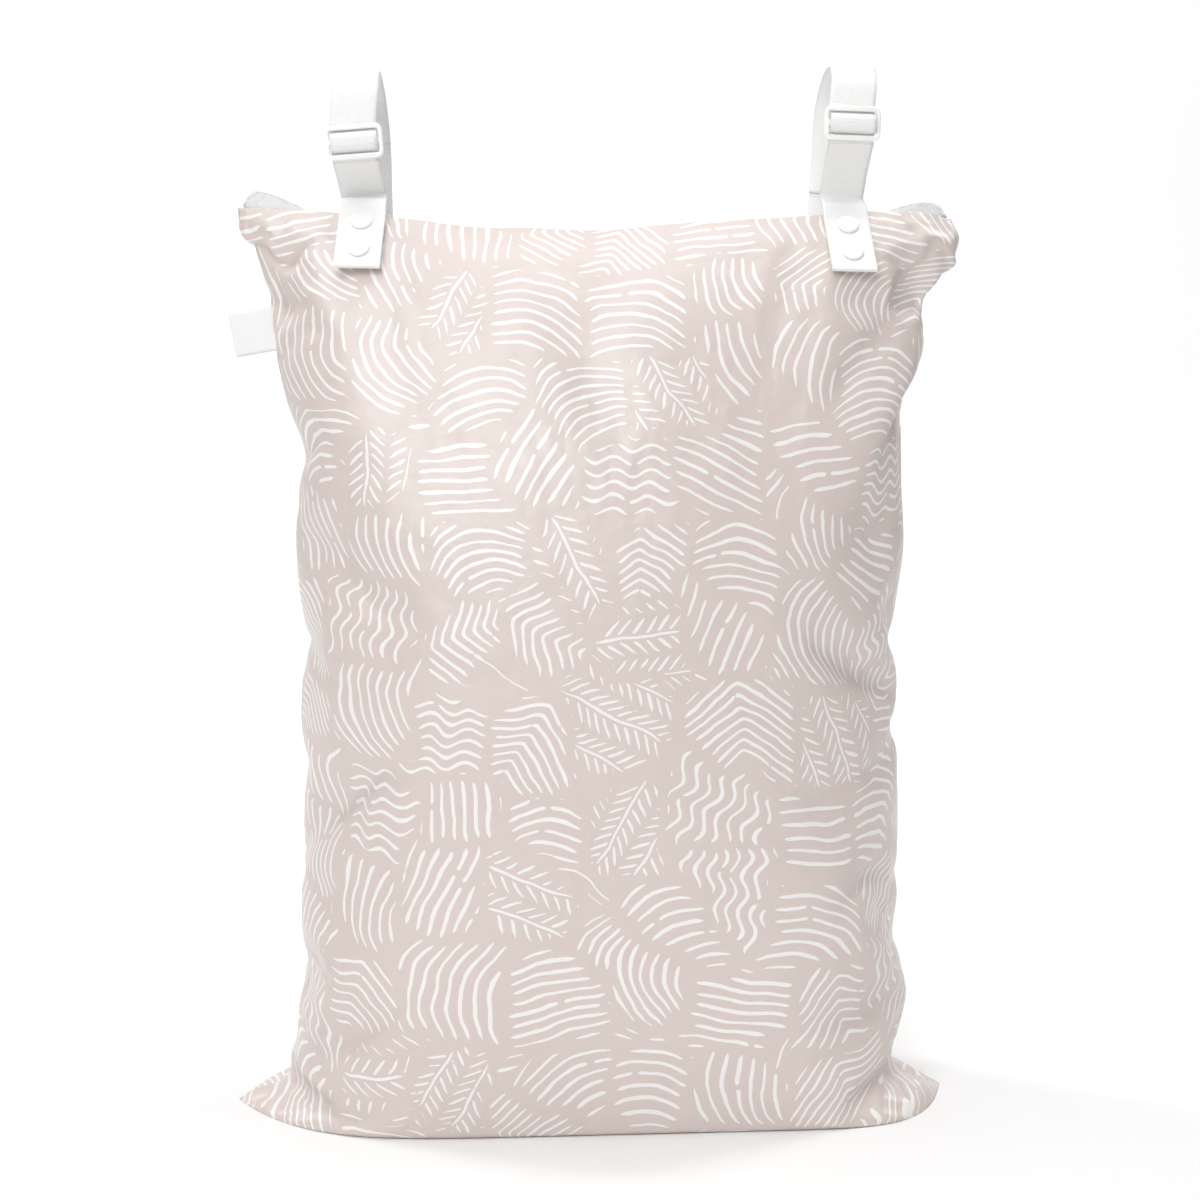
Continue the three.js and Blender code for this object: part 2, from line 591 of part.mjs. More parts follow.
// From the panel outwards: stud, socket, tab, cap.
const STUD_BASE = SEAM_GAP;
const SOCKET_BASE = STUD_BASE + SNAP_STUD_HEIGHT + SEAM_GAP;
const TAB_BASE = SOCKET_BASE + SNAP_SOCKET_HEIGHT + SEAM_GAP;
const TAB_TOP = TAB_BASE + TAB_THICKNESS;
const TAB_MIDDLE = SNAP_LOW + SNAP_PITCH / 2; // from the tab's bottom edge to half way between the snaps
const POCKET_GAP = WEBBING + 2 * SEAM_GAP;
const TAB_ROUND = 12; // sides of the round pieces

function snapCapGeometry() {
  const hole = SNAP_POST_RADIUS - SNAP_FIT / 2;
  const capBase = TAB_TOP + SEAM_GAP;
  const socketTop = SOCKET_BASE + SNAP_SOCKET_HEIGHT;
  const profile = [
    [0, capBase + SNAP_CAP_HEIGHT],
    [SNAP_CAP_RADIUS * 0.6, capBase + SNAP_CAP_HEIGHT * 0.9],
    [SNAP_CAP_RADIUS * 0.9, capBase + SNAP_CAP_HEIGHT * 0.6],
    [SNAP_CAP_RADIUS, capBase + SNAP_CAP_HEIGHT * 0.2],
    [SNAP_CAP_RADIUS * 0.96, capBase],
    [SNAP_POST_RADIUS, capBase],
    [SNAP_POST_RADIUS, socketTop],
    [SNAP_SOCKET_RADIUS, socketTop],
    [SNAP_SOCKET_RADIUS, SOCKET_BASE],
    [hole, SOCKET_BASE],
    [hole, SOCKET_BASE + SNAP_NUB_HEIGHT + SEAM_GAP],
    [0, SOCKET_BASE + SNAP_NUB_HEIGHT + SEAM_GAP],
  ];
  return lathe(profile);
}

function snapStudGeometry() {
  const nub = SNAP_POST_RADIUS - SNAP_FIT / 2 - SNAP_FIT;
  const top = STUD_BASE + SNAP_STUD_HEIGHT;
  const profile = [
    [0, top + SNAP_NUB_HEIGHT],
    [nub, top + SNAP_NUB_HEIGHT],
    [nub, top],
    [SNAP_SOCKET_RADIUS, top],
    [SNAP_SOCKET_RADIUS, STUD_BASE],
    [0, STUD_BASE],
  ];
  return lathe(profile);
}

// A turned piece whose axis is Z.
function lathe(profile) {
  const points = profile.map(([radius, height]) => new THREE.Vector2(radius, height)).reverse();
  const turned = new THREE.LatheGeometry(points, TAB_ROUND).rotateX(Math.PI / 2);
  return toGeometry(toSolid(turned));
}

// The tab is a doubled strip with a pocket at its top, drilled for the snaps' posts.
function tabGeometry() {
  const ramp = TAB_LENGTH - TAB_POCKET;
  const swollen = 2 * TAB_LAYER + POCKET_GAP;
  const profile = [
    [0, 0], [TAB_LENGTH, 0], [TAB_LENGTH, TAB_LAYER], [ramp, TAB_LAYER], [ramp, TAB_LAYER + POCKET_GAP],
    [TAB_LENGTH, TAB_LAYER + POCKET_GAP], [TAB_LENGTH, swollen], [ramp, swollen],
    [ramp - TAB_THICKNESS, TAB_THICKNESS], [0, TAB_THICKNESS],
  ];
  const strip = plate(profile, [], WEBBING_WIDTH).translate(0, 0, -WEBBING_WIDTH / 2);
  let solid = toSolid(strip);
  for (const place of [SNAP_LOW, SNAP_LOW + SNAP_PITCH]) {
    const drill = new THREE.CylinderGeometry(
      SNAP_POST_RADIUS + SNAP_FIT, SNAP_POST_RADIUS + SNAP_FIT, 3 * TAB_THICKNESS, TAB_ROUND
    );
    solid = solid.subtract(toSolid(drill.translate(place, TAB_THICKNESS / 2, 0)));
  }
  return toGeometry(solid);
}

// The slide buckle is a rounded frame with a middle bar.
function buckleGeometry() {
  const halfWide = WEBBING_WIDTH / 2 + BUCKLE_ROOM + BUCKLE_SIDE;
  const halfHigh = BUCKLE_HEIGHT / 2;
  const rounded = (x0, y0, x1, y1, radius, target) => {
    target.moveTo(x0 + radius, y0);
    target.lineTo(x1 - radius, y0);
    target.absarc(x1 - radius, y0 + radius, radius, -Math.PI / 2, 0);
    target.lineTo(x1, y1 - radius);
    target.absarc(x1 - radius, y1 - radius, radius, 0, Math.PI / 2);
    target.lineTo(x0 + radius, y1);
    target.absarc(x0 + radius, y1 - radius, radius, Math.PI / 2, Math.PI);
    target.lineTo(x0, y0 + radius);
    target.absarc(x0 + radius, y0 + radius, radius, Math.PI, 1.5 * Math.PI);
    return target;
  };
  const shape = rounded(-halfWide, -halfHigh, halfWide, halfHigh, BUCKLE_CORNER, new THREE.Shape());
  for (const end of [-1, 1]) {
    const near = (end * BUCKLE_BAR) / 2;
    const far = end * (halfHigh - BUCKLE_BAR);
    const inner = halfWide - BUCKLE_SIDE;
    const [low, high] = [Math.min(near, far), Math.max(near, far)];
    shape.holes.push(rounded(-inner, low, inner, high, BUCKLE_SLOT_CORNER, new THREE.Path()));
  }
  return new THREE.ExtrudeGeometry(shape, {
    depth: BUCKLE_THICKNESS, bevelEnabled: false, curveSegments: 3,
  }).translate(0, 0, -BUCKLE_THICKNESS / 2);
}

const BEHIND_BAR = BUCKLE_THICKNESS / 2 + SEAM_GAP + WEBBING / 2;
const LAYER = WEBBING + SEAM_GAP;

function lanePlace(strap, lane) {
  const index = Math.min(Math.floor(lane), strap.lanes.length - 2);
  const share = THREE.MathUtils.lerp(strap.lanes[index], strap.lanes[index + 1], lane - index);
  return share * HALF_WIDTH;
}

// Where a strap runs: a curve from its tab, past its buckle and over its crown, to its anchor at the back.
function strapRoute(strap) {
  const tab = seatOn(-1, strap.tabLane, strap.tabHeight, strap.tabRoll);
  const anchor = seatOn(1, strap.lanes[strap.lanes.length - 1], strap.anchorHeight, 0);
  const webbingOut = TAB_BASE + TAB_LAYER + POCKET_GAP / 2;
  const tabPoint = (up) => at(tab, up - TAB_MIDDLE, webbingOut);
  const tabEnd = tabPoint(TAB_LENGTH);
  const anchorOut = 2 * SEAM_GAP + WEBBING / 2;
  const anchorPoint = (up) => at(anchor, up - ANCHOR_LENGTH / 2, anchorOut);
  const crownHeight = TOP_HEIGHT + strap.crown * LOOP_RISE;
  const buckleHeight = TOP_HEIGHT + strap.buckle * LOOP_RISE;
  const placed = (row, low, high) =>
    new THREE.Vector3(
      lanePlace(strap, row.lane), (row.out * LOOP_DEPTH) / 2, THREE.MathUtils.lerp(low, high, row.rise)
    );
  const roll = THREE.MathUtils.degToRad(strap.buckleRoll);
  const buckle = {
    middle: new THREE.Vector3(lanePlace(strap, 1), (BUCKLE_OUT * LOOP_DEPTH) / 2, buckleHeight),
    side: new THREE.Vector3(Math.cos(roll), 0, Math.sin(roll)),
    up: new THREE.Vector3(-Math.sin(roll), 0, Math.cos(roll)),
    out: new THREE.Vector3(0, -1, 0),
  };
  const buckleReach = BUCKLE_HEIGHT / 2 + WEBBING;
  const anchorTop = anchorPoint(ANCHOR_LENGTH);
  const front = [
    tabPoint(TAB_LENGTH - TAB_POCKET + SEAM_GAP), tabPoint(TAB_LENGTH - TAB_POCKET / 2), tabEnd,
    tabPoint(TAB_LENGTH + WEBBING),
    ...NECK_ROWS.map((row) => placed(row, tabEnd.z, buckleHeight)),
    at(buckle, -buckleReach, -SEAM_GAP),
  ];
  const rest = [
    at(buckle, buckleReach, -SEAM_GAP),
    ...CROWN_ROWS.map((row) => placed(row, buckleHeight, crownHeight)),
    ...BACK_ROWS.map((row) => placed(row, anchorTop.z, crownHeight)),
    anchorTop, anchorPoint(ANCHOR_LENGTH / 2), anchorPoint(0),
  ];
  const crownTurn = THREE.MathUtils.degToRad(strap.crownRoll);
  const crownSide = new THREE.Vector3(Math.cos(crownTurn), 0, Math.sin(crownTurn));
  return { tab, anchor, buckle, front, rest, crownSide };
}

// Stations along a curve, each with the directions across the webbing and away from the loop.
function stations(points, steps, sides) {
  const curve = new THREE.CatmullRomCurve3(points, false, 'centripetal');
  return Array.from({ length: steps + 1 }, (_, i) => {
    const t = i / steps;
    const tangent = curve.getTangentAt(t);
    const knot = sides.findIndex((entry) => entry.t >= t);
    const high = sides[Math.max(knot, 1)];
    const low = sides[Math.max(knot, 1) - 1];
    const part = THREE.MathUtils.clamp((t - low.t) / (high.t - low.t), 0, 1);
    const side = low.side.clone().lerp(high.side, part);
    side.addScaledVector(tangent, -side.dot(tangent)).normalize();
    return { point: curve.getPointAt(t), side, out: new THREE.Vector3().crossVectors(side, tangent) };
  });
}

// Stations on the buckle's own plane, from a table of its threading.
function framed(frame, rows) {
  const place = ({ out, up }) => new THREE.Vector2(out * 2 * BEHIND_BAR, (up * BUCKLE_HEIGHT) / 2);
  const curve = new THREE.SplineCurve(rows.map(place));
  const steps = rows.length * 2 - 2;
  return Array.from({ length: steps + 1 }, (_, i) => {
    const middle = curve.getPoint(i / steps);
    const way = curve.getTangent(i / steps);
    const tangent = frame.up.clone().multiplyScalar(way.y).addScaledVector(frame.out, way.x).normalize();
    return {
      point: at(frame, middle.y, middle.x),
      side: frame.side.clone(),
      out: new THREE.Vector3().crossVectors(frame.side, tangent),
    };
  });
}

function webbingGeometry(list, shift = 0) {
  return loftGeometry(
    list.map(({ point, side, out }) =>
      slab(point.clone().addScaledVector(out, shift), out, side, WEBBING, WEBBING_WIDTH)
    )
  );
}

const FRONT_STEPS = 12;
const REST_STEPS = 28;
const CROWN_SHARE = 0.25; // the crown's and the anchor's places along the stretch behind the buckle
const ANCHOR_SHARE = 0.85;
for (const strap of STRAPS) {
  const route = strapRoute(strap);
  const { tab, buckle, anchor } = route;
  const front = stations(route.front, FRONT_STEPS, [{ t: 0, side: tab.side }, { t: 1, side: buckle.side }]);
  const rest = stations(route.rest, REST_STEPS, [
    { t: 0, side: buckle.side },
    { t: CROWN_SHARE, side: route.crownSide },
    { t: ANCHOR_SHARE, side: anchor.side },
    { t: 1, side: anchor.side },
  ]);
  const mainLine = [...front, ...framed(buckle, MAIN_THREADING), ...rest];
  add(`${strap.name}_strap_main`, webbingGeometry(mainLine), COLOURS.webbing, 0.85);

  // The inner layer ends part of the way down the back run.
  const tailHeight = TOP_HEIGHT + strap.tailEnd * LOOP_RISE;
  const backRun = rest.filter(({ point }) => point.y < 0 || point.z > tailHeight);
  const inner = backRun.map((entry) => ({
    ...entry,
    point: entry.point.clone().addScaledVector(entry.out, -LAYER),
  }));
  const tailLine = [...framed(buckle, TAIL_THREADING), ...inner];
  add(`${strap.name}_strap_tail`, webbingGeometry(tailLine), COLOURS.webbing, 0.85);

  const buckleMesh = add(`${strap.name}_slide_buckle`, buckleGeometry(), COLOURS.plastic, 0.25);
  buckleMesh.setRotationFromMatrix(new THREE.Matrix4().makeBasis(buckle.side, buckle.up, buckle.out));
  buckleMesh.position.copy(at(buckle, 0, BEHIND_BAR));

  const tabMesh = add(`${strap.name}_snap_tab`, tabGeometry(), COLOURS.tab, 0.5);
  const tabSide = new THREE.Vector3().crossVectors(tab.up, tab.out);
  tabMesh.setRotationFromMatrix(new THREE.Matrix4().makeBasis(tab.up, tab.out, tabSide));
  tabMesh.position.copy(at(tab, -TAB_MIDDLE, TAB_BASE));

  const snapTurn = new THREE.Matrix4().makeBasis(tab.side, tab.up, tab.out);
  for (const [level, place] of [['lower', SNAP_LOW], ['upper', SNAP_LOW + SNAP_PITCH]]) {
    const seat = at(tab, place - TAB_MIDDLE, 0);
    const cap = add(`${strap.name}_snap_cap_${level}`, snapCapGeometry(), COLOURS.plastic, 0.3);
    const stud = add(`${strap.name}_snap_stud_${level}`, snapStudGeometry(), COLOURS.plastic, 0.3);
    for (const piece of [cap, stud]) {
      piece.setRotationFromMatrix(snapTurn);
      piece.position.copy(seat);
    }
  }
}

export default bag;
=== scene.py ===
import math

import bpy
import numpy as np
from mathutils import Matrix, Vector
from mathutils.geometry import tessellate_polygon


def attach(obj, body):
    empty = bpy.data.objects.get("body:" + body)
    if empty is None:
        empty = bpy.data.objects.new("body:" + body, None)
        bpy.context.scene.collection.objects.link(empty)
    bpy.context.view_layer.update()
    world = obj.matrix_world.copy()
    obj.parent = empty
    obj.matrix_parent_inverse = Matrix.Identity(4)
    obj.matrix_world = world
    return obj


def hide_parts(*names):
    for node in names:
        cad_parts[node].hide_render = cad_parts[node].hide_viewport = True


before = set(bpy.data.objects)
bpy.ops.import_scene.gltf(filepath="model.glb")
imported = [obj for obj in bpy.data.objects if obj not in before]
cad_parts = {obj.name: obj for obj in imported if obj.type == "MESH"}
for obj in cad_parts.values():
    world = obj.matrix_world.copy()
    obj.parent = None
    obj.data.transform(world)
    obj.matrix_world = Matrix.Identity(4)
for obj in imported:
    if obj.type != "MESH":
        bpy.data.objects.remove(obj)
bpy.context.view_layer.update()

# The bag's two cloth panels
# Each is cut as a plain rectangle of thin coated polyester. They are sewn to each other down the sides and
# along the bottom, turned right side out and stuffed, with the bottom folded under and flat on the floor.
# Lengths in this section are in millimetres until the meshes are made.
FLAT_WIDTH = 406.0
FLAT_LENGTH = 587.0
TOP_HEIGHT = 490.0
BODY_DEPTH = 170.0
BASE_DEPTH = 152.0
MOUTH_GAP = 24.0
CORNER_LIFT = 12.0
EAR_HEIGHT = 14.0
HALF_WIDTH = FLAT_WIDTH / 2
RIGHT_FULLNESS = 0.8
FULLNESS_HEIGHT = 60.0
# The stuffed shape, row by row upwards: the row's height, the half width on the left and on the right, how far
# the cloth bulges, how square and how round it is, and how far the corners are lifted. The first table is for
# the ears, which lie out on the floor, and the second for the body above them.
RISE, LEFT, RIGHT, BULGE, SQUARE, ROUND, LIFT = range(7)
EAR_ROWS = np.array([
    (0.0, 1.01, 0.99, 0.0, 5.5, 1.0, 0),
    (0.15, 0.997, 0.975, 0.05, 5.4, 1.03, 0),
    (0.36, 0.965, 0.926, 0.12, 5.3, 1.1, 0),
    (0.64, 0.899, 0.868, 0.2, 5.2, 1.25, 0),
])
BODY_ROWS = np.array([
    (0.0, 0.872, 0.848, 0.26, 5.0, 1.4, 0),
    (0.021, 0.864, 0.846, 0.38, 4.6, 1.6, 0),
    (0.046, 0.84, 0.854, 0.52, 4.0, 1.75, 0),
    (0.086, 0.83, 0.861, 0.7, 3.4, 1.9, 0),
    (0.16, 0.824, 0.859, 0.88, 2.8, 2.0, 0),
    (0.265, 0.817, 0.852, 0.98, 2.4, 2.0, 0),
    (0.391, 0.811, 0.838, 1.02, 2.2, 2.0, 0),
    (0.517, 0.811, 0.835, 1.0, 2.2, 2.0, 0),
    (0.632, 0.82, 0.844, 0.95, 2.2, 2.0, 0),
    (0.727, 0.822, 0.85, 0.87, 2.2, 1.95, 0.08),
    (0.8, 0.85, 0.87, 0.77, 2.2, 1.9, 0.28),
    (0.863, 0.874, 0.9, 0.65, 2.2, 1.85, 0.52),
    (0.903, 0.893, 0.91, 0.54, 2.3, 1.8, 0.7),
    (0.926, 0.908, 0.947, 0.45, 2.3, 1.8, 0.8),
    (0.952, 0.94, 1.006, 0.31, 2.4, 1.8, 0.9),
    (0.978, 0.972, 1.012, 0.15, 2.4, 1.9, 1),
    (1.0, 0.977, 0.99, 0.0, 2.5, 2.0, 1),
])
# The creases and dents, on the front panel (-1) or the back one (1): the place across and up, as shares of the
# half width and the height, the turn in degrees, and the length, width and depth as shares of the body's depth.
FOLDS = (
    (-1, -0.92, 0.975, -30, 0.2, 0.035, 0.035),
    (-1, -0.84, 0.966, 15, 0.07, 0.035, 0.025),
    (-1, -0.9, 0.925, -58, 0.16, 0.05, 0.03),
    (-1, 0.89, 0.967, 12, 0.15, 0.04, 0.045),
    (-1, 0.86, 0.935, 55, 0.13, 0.05, 0.035),
    (-1, 0.76, 0.6, -62, 0.38, 0.08, 0.03),
    (-1, 0.62, 0.53, -42, 0.34, 0.09, 0.026),
    (-1, -0.62, 0.61, -50, 0.3, 0.09, 0.026),
    (-1, -0.72, 0.36, 48, 0.3, 0.08, 0.024),
    (-1, 0.0, 0.93, 80, 0.2, 0.09, 0.016),
    (-1, -0.74, 0.024, -32, 0.11, 0.03, 0.024),
    (-1, 0.71, 0.03, 36, 0.16, 0.04, 0.03),
    (-1, 0.66, 0.84, 48, 0.45, 0.1, 0.042),
    (-1, 0.78, 0.72, 66, 0.4, 0.08, 0.03),
    (-1, -0.04, 0.85, -62, 0.32, 0.08, 0.022),
    (-1, -0.855, 0.045, -68, 0.17, 0.03, 0.042),
    (-1, 0.81, 0.055, 84, 0.21, 0.03, 0.042),
    (-1, -0.93, 0.022, -20, 0.12, 0.025, 0.022),
    (-1, 0.91, 0.035, 16, 0.12, 0.025, 0.022),
    (1, -0.9, 0.96, -24, 0.18, 0.045, 0.035),
    (1, 0.9, 0.955, 28, 0.18, 0.045, 0.035),
    (1, 0.66, 0.62, -50, 0.34, 0.09, 0.026),
    (1, -0.7, 0.5, 52, 0.36, 0.09, 0.028),
    (1, 0.72, 0.04, 34, 0.14, 0.04, 0.026),
    (1, -0.72, 0.035, -34, 0.14, 0.04, 0.026),
)
row_heights = np.concatenate([
    EAR_ROWS[:, RISE] * EAR_HEIGHT,
    EAR_HEIGHT + BODY_ROWS[:, RISE] * (TOP_HEIGHT - EAR_HEIGHT),
])
row_table = np.vstack([EAR_ROWS, BODY_ROWS])
steps_up = np.diff(row_heights)[:, None]
secants = np.diff(row_table, axis=0) / steps_up
rising_together = secants[:-1] * secants[1:] > 0
total = np.where(rising_together, secants[:-1] + secants[1:], 1.0)
inner_slopes = np.where(rising_together, 2 * secants[:-1] * secants[1:] / total, 0.0)
row_slopes = np.vstack([secants[:1], inner_slopes, secants[-1:]])


def row_value(column, z):
    """A column of the tables at any height, on a curve that doesn't overshoot between the rows."""
    index = np.clip(np.searchsorted(row_heights, z, side="right") - 1, 0, len(row_heights) - 2)
    span = steps_up[index, 0]
    t = np.clip((z - row_heights[index]) / span, 0, 1)
    low, high = row_table[index, column], row_table[index + 1, column]
    ends = (1 + 2 * t) * (1 - t) ** 2 * low + t * t * (3 - 2 * t) * high
    slopes = t * (1 - t) ** 2 * row_slopes[index, column] - t * t * (1 - t) * row_slopes[index + 1, column]
    return ends + slopes * span


def half_depth(z):
    straight = BASE_DEPTH / 2 + (MOUTH_GAP / 2 - BASE_DEPTH / 2) * z / TOP_HEIGHT
    return straight + row_value(BULGE, z) * (BODY_DEPTH / 2 - straight)


def smooth_point(panel, share, z):
    """A point of a panel without its folds, by its share of the half width and its height."""
    share, z = np.broadcast_arrays(np.asarray(share, float), np.asarray(z, float))
    width = HALF_WIDTH * np.where(share < 0, row_value(LEFT, z), row_value(RIGHT, z))
    fuller = 1 + RIGHT_FULLNESS * (share > 0) * np.clip(1 - z / FULLNESS_HEIGHT, 0, 1)
    inside = np.clip(1 - np.abs(share) ** (row_value(SQUARE, z) * fuller), 0, 1)
    out = half_depth(z) * inside ** (1 / row_value(ROUND, z))
    lift = CORNER_LIFT * row_value(LIFT, z) * share ** 2
    return np.stack([width * share, panel * out, z + lift], -1)


def outward(panel, share, z):
    step = 0.01
    inner = np.clip(share, -1 + step, 1 - step)
    height = np.clip(z, 1, TOP_HEIGHT - 1)
    across = smooth_point(panel, inner + step, height) - smooth_point(panel, inner - step, height)
    up = smooth_point(panel, inner, height + 1) - smooth_point(panel, inner, height - 1)
    normal = -panel * np.cross(across, up)
    return normal / np.linalg.norm(normal, axis=-1, keepdims=True)


def fold_depth(panel, x, z):
    depth = np.zeros_like(x)
    for side, across, up, turn, length, width, dent in FOLDS:
        if side != panel:
            continue
        angle = math.radians(turn)
        dx, dz = x - across * HALF_WIDTH, z - up * TOP_HEIGHT
        along = (dx * math.cos(angle) + dz * math.sin(angle)) / (length * BODY_DEPTH)
        beside = (dz * math.cos(angle) - dx * math.sin(angle)) / (width * BODY_DEPTH)
        depth += dent * BODY_DEPTH * np.exp(-beside ** 2) * np.clip(1 - along ** 2, 0, 1) ** 2
    return depth


# How far the top edge's waves stand over its plain line, in millimetres, by their place across the bag.
EDGE_WAVES = (
    (-1, 0), (-0.85, 2.2), (-0.7, 2.6), (-0.5, 2.3), (-0.4, 0.3), (-0.28, -0.4), (-0.21, 1.2), (-0.1, 0.2), (0, 0),
    (0.07, 0.6), (0.14, 2.8), (0.24, 3.8), (0.34, 5.2), (0.5, 4.8), (0.62, 5.6), (0.78, 5.4), (0.88, 4.0),
    (0.94, 1.5), (1, -3.5),
)


def edge_wave(share, z):
    """The edge's wave, which fades out over the top sixth of the panel."""
    places, rises = np.array(EDGE_WAVES).T
    fine = np.linspace(-1, 1, 401)
    spread = np.exp(-np.square(np.arange(-20, 21) / 8.0))
    smooth = np.convolve(np.pad(np.interp(fine, places, rises), 20, mode="edge"), spread / spread.sum(), "valid")
    return np.interp(share, fine, smooth) * np.clip(z / TOP_HEIGHT * 6 - 5, 0, 1) ** 2


def top_edge(panel, share):
    edge = smooth_point(panel, share, TOP_HEIGHT)
    edge[..., 2] += edge_wave(share, TOP_HEIGHT)
    return edge


def panel_point(panel, share, z):
    point = smooth_point(panel, share, z)
    seam = np.clip((1 - np.abs(share)) / 0.03, 0, 1)
    floor = np.clip(z / EAR_HEIGHT, 0, 1)
    top = np.clip((TOP_HEIGHT - z) / (2 * MOUTH_GAP), 0, 1)
    dent = fold_depth(panel, point[..., 0], point[..., 2]) * seam * floor * top
    point[..., 2] += edge_wave(share, z)
    return point - outward(panel, share, z) * dent[..., None]


def arc_lengths(points):
    return np.concatenate([[0], np.cumsum(np.linalg.norm(np.diff(points, axis=0), axis=1))])


def spread_evenly(values, points, count):
    lengths = arc_lengths(points)
    return np.interp(np.linspace(0, lengths[-1], count + 1), lengths, values)


# The grid that both panels use: columns across the cloth, rows from the bottom seam up to the top edge.
CLOTH_COLUMNS = 80
WALL_ROWS = 102
FLOOR_ROWS = 15
fine_shares = np.sin(np.linspace(-math.pi / 2, math.pi / 2, 2001))
cloth_shares = spread_evenly(fine_shares, smooth_point(-1, fine_shares, 250.0), CLOTH_COLUMNS)
fine_heights = np.linspace(0, TOP_HEIGHT, 2001)
cloth_heights = spread_evenly(fine_heights, smooth_point(-1, 0.0, fine_heights), WALL_ROWS)
share_grid, height_grid = np.meshgrid(cloth_shares, cloth_heights)


def panel_grid(panel):
    wall = panel_point(panel, share_grid, height_grid)
    edge = wall[0]
    part = np.linspace(0, 1, FLOOR_ROWS + 1)[:-1, None]
    floor = np.stack([
        np.broadcast_to(edge[:, 0], (FLOOR_ROWS, len(edge))),
        edge[:, 1] * part,
        np.zeros((FLOOR_ROWS, len(edge))),
    ], -1)
    return np.concatenate([floor, wall])


FOLDED_UNDER = 70


def flat_coordinates(points):
    """Each point's place on the cloth lying flat: across from its middle, and up from the bottom seam."""
    wall = points[FLOOR_ROWS:]
    reach = np.abs(wall[0, :, 1])
    up_steps = np.linalg.norm(np.diff(wall, axis=0), axis=2)
    climbed = np.vstack([np.zeros(up_steps.shape[1]), np.cumsum(up_steps, axis=0)])
    t = reach + (FLAT_LENGTH - reach) * climbed / climbed[-1]
    across = np.linalg.norm(np.diff(wall, axis=1), axis=2)
    run = np.hstack([np.zeros((len(wall), 1)), np.cumsum(across, axis=1)])
    middle = run[:, CLOTH_COLUMNS // 2][:, None]
    s = np.where(run < middle, (run - middle) / middle, (run - middle) / (run[:, -1:] - middle)) * HALF_WIDTH
    # Low down, where the cloth is folded under, its sides keep the place that they have on the floor.
    away = np.clip(height_grid / FOLDED_UNDER, 0, 1)
    s = wall[:, :, 0] * (1 - away) + s * away
    floor = points[:FLOOR_ROWS]
    return np.concatenate([
        np.stack([floor[:, :, 0], np.abs(floor[:, :, 1])], -1),
        np.stack([s, t], -1),
    ])


front_grid = panel_grid(-1)
back_grid = panel_grid(1)
front_flat = flat_coordinates(front_grid)
back_flat = flat_coordinates(back_grid)
GRID_ROWS, GRID_COLUMNS = front_grid.shape[:2]


def grid_faces(index, flip):
    corners = np.stack([index[:-1, :-1], index[:-1, 1:], index[1:, 1:], index[1:, :-1]], -1).reshape(-1, 4)
    return corners[:, ::-1] if flip else corners


def mesh_object(name, points, faces):
    mesh = bpy.data.meshes.new(name)
    mesh.from_pydata([tuple(p) for p in points], [], [tuple(int(i) for i in f) for f in faces])
    mesh.validate()
    mesh.update()
    mesh.shade_smooth()
    piece = bpy.data.objects.new(name, mesh)
    bpy.context.scene.collection.objects.link(piece)
    return piece


# Both panels as one shell, sewn at the sides and the bottom, for the simulation.
for grid in (front_grid, back_grid):
    grid[:, [0, -1], 1] = 0
    grid[0, :, 1] = 0
grid_points = np.concatenate([front_grid.reshape(-1, 3), back_grid.reshape(-1, 3)])
grid_flat = np.concatenate([front_flat.reshape(-1, 2), back_flat.reshape(-1, 2)])
_, used, sewn = np.unique(np.round(grid_points, 3), axis=0, return_index=True, return_inverse=True)
front_index, back_index = sewn.reshape(2, GRID_ROWS, GRID_COLUMNS)
shell_points = grid_points[used]
shell_flat = grid_flat[used]


def shell_faces():
    faces = np.concatenate([grid_faces(front_index, False), grid_faces(back_index, True)])
    cleaned = [list(dict.fromkeys(int(i) for i in face)) for face in faces]
    return [face for face in cleaned if len(face) > 2]


# How firmly each point is held, 1 being fixed: on the floor, along the zip, and where the straps are sewn or
# snapped on. The side seams have more cloth than the stuffed shape needs, which is what puckers there.
TAB_PLACES = ((-0.642 * HALF_WIDTH, 482.0), (0.68 * HALF_WIDTH, 482.0))
held = np.full(len(shell_points), 0.01)
held[shell_points[:, 2] < 0.5] = 1
for index in (front_index, back_index):
    for rows_down, hold in enumerate((1, 0.85, 0.7, 0.5)):
        row = index[-1 - rows_down]
        held[row] = np.maximum(held[row], hold)
for x, z in TAB_PLACES:
    near = np.hypot(shell_points[:, 0] - x, (shell_points[:, 2] - z) * 0.55)
    held = np.maximum(held, np.clip(1.6 - near / 14, 0, 1))
seam_share = np.abs(shell_flat[:, 0]) / HALF_WIDTH
corner = np.clip((shell_points[:, 2] - 425) / 45, 0, 1) * np.clip((seam_share - 0.6) / 0.25, 0, 1)
held = np.maximum(held, 0.3 * corner)
taut = 1 - np.clip((seam_share - 0.35) / 0.65, 0, 1) ** 1.5

SIMULATED_FRAMES = 24
STUFFING_PRESSURE = 3.2
MOST_SLACK = 0.1
FARTHEST_MOVE = 13.0
FADE_AT_TOP = 70
FADE_AT_FLOOR = 30
SMOOTHED_ROWS = 9.0
SWELLING_KEPT = 0.62


